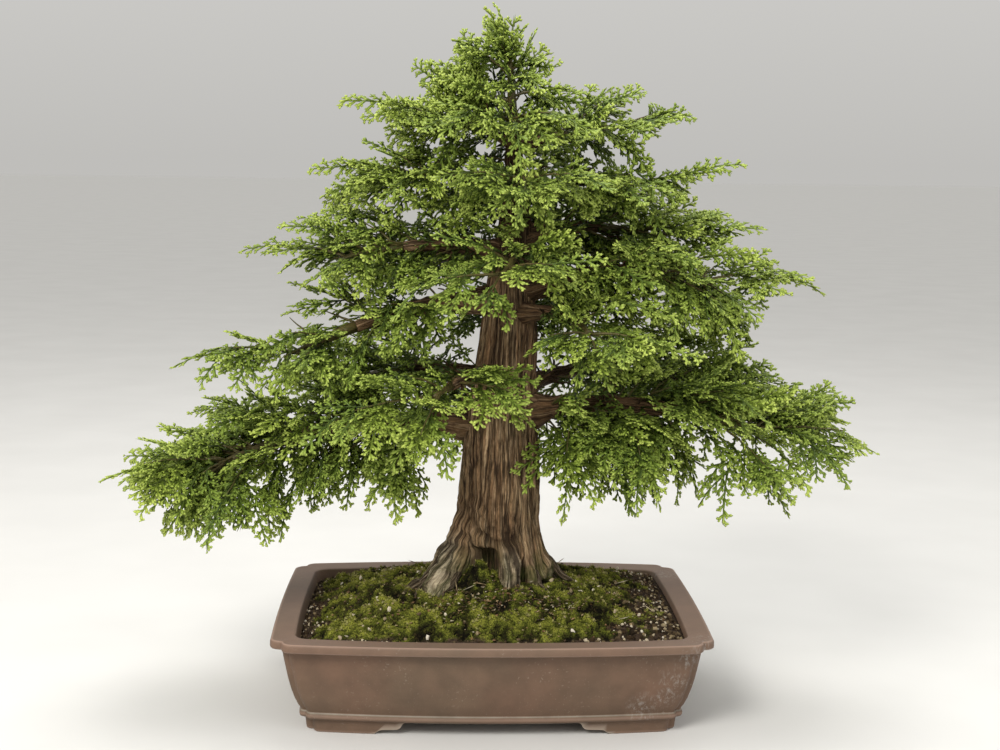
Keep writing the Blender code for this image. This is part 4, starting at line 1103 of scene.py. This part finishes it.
# inset from the rim's outline and height in millimetres, from under the floor round to the inside,
# and how deep the corners are notched at each row
potProfile = [
    (49, 12.8), (49, 0.8), (48.2, 0), (31.6, 0), (30.8, 0.7), (30.4, 3), (29.7, 11), (29.4, 12.4),
    (28.4, 12.9), (26.6, 13.3), (25.2, 14.3), (24.6, 15.8), (24.5, 17.2), (24.9, 18.6), (25.7, 19.6),
    (26, 20.4), (25.6, 21.6), (23.6, 25), (20.4, 33), (17.7, 42), (15.6, 51), (13.9, 60), (12.3, 69),
    (11.3, 75), (10.6, 79.4), (10.1, 82), (9.2, 82.8), (2.5, 83), (1.1, 83.2), (0.4, 83.9), (0.1, 84.9),
    (0.2, 88.9), (0.5, 90.1), (1.1, 90.8), (2, 91.1), (3, 90.9), (4, 90.65), (19.4, 90.7), (21.2, 90.3),
    (22.2, 89.2), (25, 79), (32, 54), (40, 30), (42, 26), (48, 23.5)]
potNotches = [0.007] * 9 + [0.0062] * 16 + [0.0085] + [0.0108] * 8 + [0.0104, 0.01, 0.0096] + [0] * 8
# how worn and light the rows are: edge wear, with a painted highlight along the rim's top edge; and how pale
# the belt's top is: a pale bloom with a painted highlight
wearAndHighlightRows = {3: 0.5, 4: 0.5, 11: 0.3, 12: 0.4, 28: 0.5, 29: 0.5, 30: 0.14, 31: 0.14, 32: 0.2, 33: 1.0, 34: 1.0,
            35: 0.5, 36: 0.45, 37: 0.45, 38: 0.6}
paleRows = {14: 1.0}
# the cloud-shaped step beside each foot as run and height in millimetres
footStep = [(30, 12), (28.4, 11.7), (27, 10.8), (26, 9.3), (25.2, 7.6), (24, 6.2), (22.2, 5.3),
            (19.8, 4.9), (12, 4.6), (7.2, 4.3), (5.2, 3.6), (3.4, 2.4), (1.6, 1.1), (0, 0), (-2, -2)]


def arc(cx, cy, radius, start, end, count):
    turns = [math.radians(start + (end - start) * i / (count - 1)) for i in range(count)]
    return [(cx + radius * math.cos(a), cy + radius * math.sin(a)) for a in turns]


def potOutline(inset, notch):  # a quarter of the plan, from the short side round to the long side
    halfX, halfY = pot["length"] / 2 - inset, pot["depth"] / 2 - inset
    if notch:
        deepX, deepY, soft, small = halfX - notch, halfY - notch, notch * 0.7, notch * 0.26
        corner = arc(halfX - soft, deepY - soft, soft, 0, 90, 5)
        corner += arc(deepX + small, deepY + small, small, 270, 180, 3)
        corner += arc(deepX - soft, halfY - soft, soft, 0, 90, 5)
    else:
        soft = pot["innerCorner"]
        corner = arc(halfX - soft, halfY - soft, soft, 0, 90, 13)
    (lastX, _), (_, firstY) = corner[-1], corner[0]
    quarter = [(halfX, firstY * i / 10) for i in range(10)] + corner
    quarter += [(lastX * (1 - i / 18), halfY) for i in range(1, 19)]
    half = quarter + [(-x, y) for x, y in reversed(quarter[:-1])]
    ring = half + [(x, -y) for x, y in reversed(half[1:-1])]
    bowed = []
    for x, y in ring:
        moreY = pot["longBow"] * (1 - (x / halfX) ** 2) if abs(y) > halfY / 2 else 0
        moreX = pot["shortBow"] * max(0, 1 - (y / halfY) ** 2) if abs(x) > halfX / 2 else 0
        bowed.append((x + math.copysign(moreX, x), y + math.copysign(moreY, y)))
    return bowed


def lathePlan(name, rows, notches):  # a closed body through outlines (inset, height) in mm
    rings = [potOutline(inset / 1000, notch) for (inset, _), notch in zip(rows, notches)]
    points, triangles = extrudedBar(name, len(rings[0]), len(rows))
    count = len(rings[0])
    turns = (np.degrees(np.arctan2(points[:, 1], points[:, 0])) + 360) % 360
    found = np.rint(turns * count / 360).astype(int)
    tints = np.zeros((len(points), 3))
    for i, level in enumerate(np.rint(points[:, 2]).astype(int)):
        x, y = rings[level][found[i] % count]
        points[i] = x + potMiddle.x, y + potMiddle.y, rows[level][1] / 1000
        tints[i] = wearAndHighlightRows.get(level, 0), paleRows.get(level, 0), 0
    return points, triangles, tints


def cutFrom(obj, cutter):
    onlySelect(obj)
    modifier = obj.modifiers.new("cut", "BOOLEAN")
    modifier.operation, modifier.object, modifier.solver = "DIFFERENCE", cutter, "EXACT"
    bpy.ops.object.modifier_apply(modifier="cut")
    bpy.data.objects.remove(cutter)


def footOpening(halfWidth, turned):  # the cloud-stepped opening, extruded right across under the pot
    deselectAll()
    outline = [(halfWidth - run / 1000, rise / 1000) for run, rise in footStep]
    outline += [(-x, z) for x, z in reversed(outline)]
    bpy.ops.mesh.primitive_circle_add(vertices=len(outline), radius=1, fill_type="NGON")
    opening = named("opening")
    angles = [math.atan2(v.co.y, v.co.x) % (2 * math.pi) for v in opening.data.vertices]
    for place, vert in zip(np.argsort(np.argsort(angles)), opening.data.vertices):
        x, z = outline[place]
        vert.co = (x, -0.25, z)
    bpy.ops.object.mode_set(mode="EDIT")
    bpy.ops.mesh.select_all(action="SELECT")
    bpy.ops.mesh.extrude_region_move(TRANSFORM_OT_translate={"value": (0, 0.5, 0)})
    faceOut()
    opening.data.transform(Matrix.Translation(potMiddle) @ Matrix.Rotation(turned, 4, "Z"))
    return opening


def makePot():
    piece = pieceFrom("clayPot", [lathePlan("pot", potProfile, potNotches)])
    onlySelect(piece)
    bpy.ops.object.mode_set(mode="EDIT")
    faceOut()
    cutFrom(piece, footOpening(pot["longOpening"], 0))
    cutFrom(piece, footOpening(pot["shortOpening"], math.pi / 2))
    for side in (-1, 1):
        deselectAll()
        place = potMiddle + Vector((side * pot["drainSpacing"] / 2, 0, 0.018))
        bpy.ops.mesh.primitive_cylinder_add(vertices=40, radius=pot["drainRadius"], depth=0.04, location=place)
        cutFrom(piece, named("drain"))
    onlySelect(piece)
    bpy.ops.object.shade_smooth_by_angle(angle=math.radians(38))
    dress(piece, "clay", clayMaterial())
    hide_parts("pot")
    print("pot:", len(piece.data.polygons), "faces")


# middles and reach of the white mineral stains
stains = [((0.18, -0.136, 0.077), 0.02), ((0.163, -0.134, 0.05), 0.019), ((0.138, -0.132, 0.026), 0.02),
          ((0.186, -0.136, 0.086), 0.017), ((0.156, -0.132, 0.036), 0.014), ((0.192, -0.12, 0.09), 0.014),
          ((0.188, 0.105, 0.09), 0.022)]


def clayMaterial():
    clay = Finish("stonewareClay", 0.58, 0.35)
    wearAndHighlight, pale = clay.tint()[:2]
    mottle = clay.noise(46, 4)
    colour = clay.ramp(clay.noise(9, 3), (0.36, (0.128, 0.085, 0.055)), (0.5, (0.136, 0.085, 0.055)),
                       (0.64, (0.146, 0.086, 0.056)))
    mottled = clay.speckle(46, 4, 0.3, 0.7, (0.72, 0.72, 0.7), (1.2, 1.17, 1.15))
    colour = clay.mix(0.6, colour, mottled, "MULTIPLY")
    # edge wear, with a painted highlight on the rim's top edge
    colour = clay.mix(clay.times(wearAndHighlight, 0.62), colour, (0.4, 0.275, 0.215))
    # the belt's top: a pale bloom with a painted highlight
    colour = clay.mix(clay.times(pale, clay.times(mottle, 1.1)), colour, (0.285, 0.275, 0.225))
    specks = clay.times(clay.speckle(420, 1, 0.66, 0.73, 0, 1), clay.speckle(30, 2, 0.45, 0.62, 0.1, 1))
    colour = clay.mix(clay.times(specks, 0.22), colour, (0.4, 0.35, 0.29))
    place, stained = clay.place(), None
    for middle, reach in stains:
        spot = tuple(potMiddle + Vector(middle))
        away = clay.add("ShaderNodeVectorMath", {0: place, 1: spot}, operation="DISTANCE").outputs["Value"]
        near = clay.minus(1.0, clay.math("DIVIDE", away, reach), True)
        stained = clay.math("MAXIMUM", stained, near) if stained else near
    crust = clay.speckle(330, 5, 0.5, 0.66, 0, 1, 0.78, (1, 1, 0.45))
    stained = clay.times(clay.times(stained, 1.5, True), crust)
    colour = clay.mix(clay.times(stained, 0.46), colour, (0.44, 0.43, 0.4))
    return clay.done(colour, clay.plus(clay.noise(700, 2), clay.times(mottle, 0.6)), 0.0003, 0.5)


soil = {
    "edgeHeight": 0.0845, "mound": 0.032, "columns": 160, "rows": 112, "wallInset": 0.0232,
    "halfLength": 0.177, "halfDepth": 0.12, "trunkAt": 0.006, "waves": 0.0022, "lumps": 0.0046,
    "grains": 0.0007, "leftLow": 0.006, "sides": (0.02, 0.036), "bottom": 0.0262, "bottomShare": 0.88,
}
# humps in the soil: heading and distance from the trunk, half width and height
humps = [(281, 0.074, 0.018, 0.012), (250, 0.05, 0.02, 0.027), (300, 0.056, 0.01, 0.01),
         (335, 0.062, 0.014, 0.006), (228, 0.112, 0.02, 0.005), (262, 0.098, 0.024, 0.004),
         (318, 0.12, 0.018, 0.005), (196, 0.118, 0.018, 0.004)]
moss = {"spacing": 0.0038, "height": (0.0022, 0.0046), "blades": 4, "seed": 3}
grit = {"spacing": 0.0036, "scattered": 90, "scatteredStep": 0.006, "size": (0.0007, 0.0019),
        "scatteredMore": 0.0009, "seed": 9}
litter = {"bits": 1100, "length": (0.0018, 0.0048), "twigs": 26, "twigLength": (0.012, 0.022),
          "twigWidth": 0.0005, "heap": (0.01, -0.074), "heapSpread": (0.045, 0.012), "heapShare": 0.35,
          "seed": 14}


def soilShare(x, y):  # 0 in the middle, 1 at the pot's wall
    halfX = pot["length"] / 2 - soil["wallInset"] + pot["shortBow"] * max(0, 1 - (y / soil["halfDepth"]) ** 2)
    halfY = pot["depth"] / 2 - soil["wallInset"] + pot["longBow"] * max(0, 1 - (x / soil["halfLength"]) ** 2)
    u, v = abs(x) / halfX, abs(y) / halfY
    square = max(u, v)
    weight = smoothStep(square, 0.0, 1.0)
    return math.hypot(u, v) * (1 - weight) + square * weight, halfX, halfY


def soilHeight(x, y):  # over the pot's middle
    share, _, _ = soilShare(x, y)
    waves = math.sin(x * 95 + 1.3) * math.sin(y * 110 + 0.4) + 0.6 * math.sin(x * 210 + y * 170)
    height = soil["edgeHeight"] + soil["mound"] * (1 - share ** 2)
    height += soil["waves"] * waves * max(0, 1 - share ** 4)
    for heading, distance, width, rise in humps:
        spot = aheadOf(heading) * distance + Vector((soil["trunkAt"], 0, 0))
        height += rise * math.exp(-((x - spot.x) ** 2 + (y - spot.y) ** 2) / width ** 2)
    height -= soil["leftLow"] * smoothStep(-x, 0.11, 0.17)
    height += soil["lumps"] * cushionAt(x, y) * mossAt(x, y) * min(1, (1 - share) * 12)
    return height + soil["grains"] * noise.noise(Vector((x, y, 0)) / 0.003)


def cushionAt(x, y):  # rounded moss cushions, below 0 in the valleys between them
    place = Vector((x, y, 0))
    bend = Vector((noise.noise(place / 0.02), noise.noise(place / 0.02 + Vector((9, 4, 0))), 0))
    bent = place + bend * 0.006
    wide = abs(noise.noise(bent / 0.014 + Vector((5, 2, 0))))
    small = abs(noise.noise(bent / 0.0062 + Vector((1, 7, 0))))
    return min(0.75, 1.9 * wide + 1.3 * small - 0.55)


def mossToneAndShade(x, y):  # darker in the valleys between the cushions as painted shade, brighter and yellower on their tops, partly as painted light; a noise adds patches of tone
    return 0.42 + 0.62 * cushionAt(x, y) + 0.5 * noise.noise(Vector((x, y, 1.7)) / 0.022)


def mossAt(x, y):  # how mossy the ground is
    _, halfX, halfY = soilShare(x, y)
    margin = min(halfX - abs(x), halfY - abs(y))
    cover = smoothStep(margin, 0.0, 0.018) + 0.6 * noise.noise(Vector((x, y, 0.3)) / 0.03)
    cover += 0.55 * noise.noise(Vector((x, y, 0.9)) / 0.011)
    cover -= 0.75 * smoothStep(x, 0.085, 0.165) + 0.3 * smoothStep(-x, 0.12, 0.17)
    cover += 0.5 * math.exp(-((x - soil["trunkAt"]) ** 2 + y ** 2) / 0.075 ** 2)
    return smoothStep(cover, 0.36, 0.66)


def insideTrunk(x, y, spare):
    distance = math.hypot(x - soil["trunkAt"], y)
    if distance > 0.105:  # beyond the longest root
        return False
    heading = math.degrees(math.atan2(y, x - soil["trunkAt"]))
    return distance < 0.042 + rootReach(heading, soilHeight(x, y)) - spare


def onSoil(x, y, margin, spare):  # inside the pot by a margin, and clear of the trunk
    _, halfX, halfY = soilShare(x, y)
    return abs(x) < halfX - margin and abs(y) < halfY - margin and not insideTrunk(x, y, spare)


def makeSoil():
    deselectAll()
    bpy.ops.mesh.primitive_grid_add(x_subdivisions=soil["columns"], y_subdivisions=soil["rows"], size=2)
    piece = named("soilMound")
    for vert in piece.data.vertices:
        _, halfX, halfY = soilShare(vert.co.x * 0.176, vert.co.y * soil["halfDepth"])
        x, y = vert.co.x * halfX, vert.co.y * halfY
        vert.co = potMiddle + Vector((x, y, soilHeight(x, y)))
    bpy.ops.object.mode_set(mode="EDIT")
    bpy.ops.mesh.select_mode(type="EDGE")
    bpy.ops.mesh.select_all(action="DESELECT")
    bpy.ops.mesh.select_non_manifold()
    for depth in soil["sides"]:
        bpy.ops.mesh.extrude_region_move(TRANSFORM_OT_translate={"value": (0, 0, -depth)})
    bpy.ops.object.mode_set(mode="OBJECT")
    for vert in piece.data.vertices:  # the last ring, brought in and down to the pot's floor
        if vert.co.z < soil["edgeHeight"] - 0.045:
            vert.co = potMiddle + (vert.co - potMiddle) * soil["bottomShare"]
            vert.co.z = soil["bottom"]
    bpy.ops.object.mode_set(mode="EDIT")
    bpy.ops.mesh.edge_face_add()
    faceOut()
    spots = [(vert.co - potMiddle).xy for vert in piece.data.vertices]
    # the moss tone carries painted shade in the valleys and painted light on the cushions' tops
    tints = [(mossAt(*spot), mossToneAndShade(*spot), 0.0, 1.0) for spot in spots]
    piece.data.attributes.new("tint", "FLOAT_COLOR", "POINT").data.foreach_set("color", np.ravel(tints))
    bpy.ops.object.shade_smooth()
    dress(piece, "soil", soilMaterial())
    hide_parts("soil")
    print("soil:", len(piece.data.polygons), "faces")


def modelTuft(seed):  # a moss plant: narrow closed leaves round one spot
    draw = random.Random(seed)
    deselectAll()
    blades = []
    for i in range(moss["blades"]):
        lean, turn = draw.uniform(15, 58), 360 / moss["blades"] * i + draw.uniform(-20, 20)
        bpy.ops.mesh.primitive_cone_add(vertices=3, radius1=0.2, radius2=0, depth=draw.uniform(0.8, 1.15),
                                        end_fill_type="NGON", location=(0, 0, 0.5))
        blade = named("blade")
        leaning = Matrix.Rotation(math.radians(lean), 4, "Y")
        blade.data.transform(Matrix.Rotation(math.radians(turn), 4, "Z") @ leaning)
        blades.append(blade)
    for blade in blades:
        blade.select_set(True)
    bpy.ops.object.join()
    return takeTemplate(bpy.context.object)


def modelGrain(seed):  # a grain of grit: an uneven twenty-sided stone
    draw = random.Random(seed)
    deselectAll()
    bpy.ops.mesh.primitive_ico_sphere_add(subdivisions=1, radius=1)
    grain = named("grain")
    for vert in grain.data.vertices:
        vert.co *= draw.uniform(0.78, 1.18)
    return takeTemplate(grain)


def scatter(spacing, draw):  # jittered spots over the soil, clear of the trunk
    spots = []
    x = -0.176
    while x < 0.176:
        y = -0.134
        while y < 0.134:
            px, py = x + draw.uniform(-0.5, 0.5) * spacing, y + draw.uniform(-0.5, 0.5) * spacing
            if onSoil(px, py, 0.0012, 0.004):
                spots.append((px, py))
            y += spacing
        x += spacing
    return spots


def layOn(template, chosen, sizes, draw, sink, lean=0.5):  # copies on the soil, turned at random
    places = np.array([(potMiddle.x + x, potMiddle.y + y, soilHeight(x, y) - sink) for x, y in chosen])
    turns = turnsOf(*(np.array([draw.uniform(least, most) for _ in chosen])
                      for least, most in ((0, 6.28), (-lean, lean), (-lean, lean))))
    laid, triangles = copies(template, places, turns, sizes)
    return laid.reshape(-1, 3), triangles


def evenTint(tone, count):  # one tone for all the points of each copy
    return np.repeat(np.repeat(tone, count)[:, None], 3, axis=1)


def makeMoss():
    draw = random.Random(moss["seed"])
    spots = [spot for spot in scatter(moss["spacing"], draw) if draw.random() < 1.5 * mossAt(*spot)]
    templates = [modelTuft(seed) for seed in (1, 2, 3, 4)]
    parts = []
    for k, template in enumerate(templates):
        chosen = spots[k::4]
        high = np.array([draw.uniform(*moss["height"]) for _ in chosen])
        sizes = np.stack([high * 0.9, high * 0.9, high], axis=1)
        points, triangles = layOn(template, chosen, sizes, draw, 0.0008)
        # the moss tone carries painted shade in the valleys and painted light on the cushions' tops
        tone = [mossToneAndShade(x, y) + draw.uniform(-0.2, 0.2) for x, y in chosen]
        tints = evenTint(tone, len(template[0]))
        tints[:, 0], tints[:, 2] = np.tile(template[0][:, 2], len(chosen)), 0
        parts.append((points, triangles, tints))
    piece = pieceFrom("mossTufts", parts)
    dress(piece, "soil", mossMaterial())
    print("moss:", len(spots), "tufts,", len(piece.data.polygons), "triangles")


def makeGrit():
    draw = random.Random(grit["seed"])
    spots = [spot for spot in scatter(grit["spacing"], draw) if mossAt(*spot) < draw.uniform(0.25, 0.8)]
    mossy = [spot for spot in scatter(grit["scatteredStep"], draw) if mossAt(*spot) > 0.5]
    scattered = np.arange(len(spots) + grit["scattered"]) >= len(spots)  # big grains on the moss, mostly pale
    spots += draw.sample(mossy, grit["scattered"])
    templates = [modelGrain(seed) for seed in (1, 2, 3, 4, 5)]
    parts = []
    for k, template in enumerate(templates):
        chosen, big = spots[k::5], scattered[k::5]
        size = [draw.uniform(*grit["size"]) * (1 + 0.9 * draw.random() * smoothStep(x - y, 0.15, 0.25))
                for x, y in chosen] + big * grit["scatteredMore"]
        flat = np.stack([size, size * 0.85, size * 0.72], axis=1)
        points, triangles = layOn(template, chosen, flat, draw, -0.0004, 1.5)
        tone = np.array([draw.random() for _ in chosen])
        parts.append((points, triangles, evenTint(np.where(big, 0.7 + 0.3 * tone, tone), len(template[0]))))
    piece = pieceFrom("gritGrains", parts, smooth=False)
    dress(piece, "soil", gritMaterial())
    print("grit:", len(spots), "grains,", len(piece.data.polygons), "triangles")


def makeLitter():  # dried scale leaves, bark crumbs and fallen twigs
    draw = random.Random(litter["seed"])
    spots = []
    while len(spots) < litter["bits"] + litter["twigs"]:
        spot = draw.uniform(-0.174, 0.174), draw.uniform(-0.13, 0.13)
        if draw.random() < litter["heapShare"]:
            spot = [draw.gauss(*place) for place in zip(litter["heap"], litter["heapSpread"])]
        if onSoil(*spot, 0.004, 0.002):
            spots.append(tuple(spot))
    size = np.array([draw.uniform(*litter["length"]) for _ in spots])
    wide = size * np.array([draw.uniform(0.16, 0.42) for _ in spots])
    size[-litter["twigs"]:] = [draw.uniform(*litter["twigLength"]) for _ in range(litter["twigs"])]
    wide[-litter["twigs"]:] = litter["twigWidth"]
    sizes = np.stack([size, wide, np.minimum(wide, 0.0006)], axis=1)
    points, triangles = layOn(leafTemplates["lobe"], spots, sizes, draw, -0.0016, 0.45)
    tone = [draw.random() for _ in spots]
    piece = pieceFrom("driedLitter", [(points, triangles, evenTint(tone, len(leafTemplates["lobe"][0])))],
                      smooth=False)
    dress(piece, "soil", litterMaterial())
    print("litter:", len(spots), "bits,", len(piece.data.polygons), "triangles")


def litterMaterial():
    dried = Finish("driedLeaves", 0.8)
    colour = dried.ramp(dried.tint()[0], (0.0, (0.03, 0.018, 0.011)), (0.35, (0.11, 0.06, 0.03)),
                        (0.6, (0.25, 0.13, 0.05)), (0.8, (0.36, 0.27, 0.14)), (0.95, (0.56, 0.5, 0.36)))
    colour = dried.mix(0.7, colour, dried.speckle(1200, 3, 0.3, 0.7, 0.6, 1), "MULTIPLY")
    return dried.done(colour, dried.noise(1500, 2), 0.0002, 0.6)


def soilMaterial():
    ground = Finish("darkSoil", 0.95, 0.1)
    mossy, tone = ground.tint()[:2]
    earth = ground.speckle(420, 4, 0.3, 0.7, (0.012, 0.008, 0.006), (0.075, 0.05, 0.034))
    # the tone carries painted shade in the valleys between cushions and painted light on their tops
    green = ground.ramp(tone, (0.12, (0.006, 0.005, 0.002)), (0.36, (0.034, 0.036, 0.007)),
                        (0.58, (0.105, 0.118, 0.016)), (0.88, (0.23, 0.235, 0.036)))
    green = ground.mix(1.0, green, ground.speckle(900, 3, 0.4, 0.6, (0.16, 0.17, 0.16), 1.2, 0.7), "MULTIPLY")
    return ground.done(ground.mix(mossy, earth, green), ground.noise(420, 4), 0.0015, 1.0)


def mossMaterial():
    plant = Finish("moss", 0.85, 0.15)
    tip, tone = plant.tint()[:2]
    # the tone carries painted shade in the valleys between cushions and painted light on their tops
    low = plant.ramp(tone, (0.2, (0.009, 0.008, 0.002)), (0.8, (0.036, 0.038, 0.006)))
    high = plant.ramp(tone, (0.05, (0.036, 0.024, 0.009)), (0.25, (0.09, 0.066, 0.02)),
                      (0.42, (0.11, 0.118, 0.018)), (0.6, (0.25, 0.265, 0.034)),
                      (0.8, (0.44, 0.44, 0.075)), (0.95, (0.64, 0.59, 0.22)))
    return plant.done(plant.mix(tip, low, high), plant.noise(1500, 2), 0.0003, 0.5)


def gritMaterial():
    stone = Finish("pottingGrit", 0.85, 0.15)
    colour = stone.ramp(stone.tint()[0], (0.0, (0.018, 0.011, 0.005)), (0.48, (0.05, 0.031, 0.015)),
                        (0.7, (0.11, 0.078, 0.042)), (0.83, (0.26, 0.2, 0.11)),
                        (0.91, (0.58, 0.49, 0.34)), (1.0, (0.78, 0.72, 0.6)))
    colour = stone.mix(0.7, colour, stone.speckle(900, 3, 0.3, 0.65, (0.55, 0.52, 0.48), 1), "MULTIPLY")
    return stone.done(colour, stone.noise(1800, 3), 0.0003, 0.7)


def screenMaterial():
    plastic = Finish("screenPlastic", 0.5)
    colour = plastic.speckle(300, 3, 0.35, 0.7, 0.012, (0.045, 0.043, 0.04))
    return plastic.done(colour, plastic.noise(900, 2), 0.0001, 0.5)


makePot()
makeSoil()
makeMoss()
makeGrit()
makeLitter()
makeWood()
makeFoliage()
screenFinish = screenMaterial()
for node in ("drain_screen_left", "drain_screen_right"):
    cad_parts[node].material_slots[0].material = screenFinish
setStage()
setCamera()
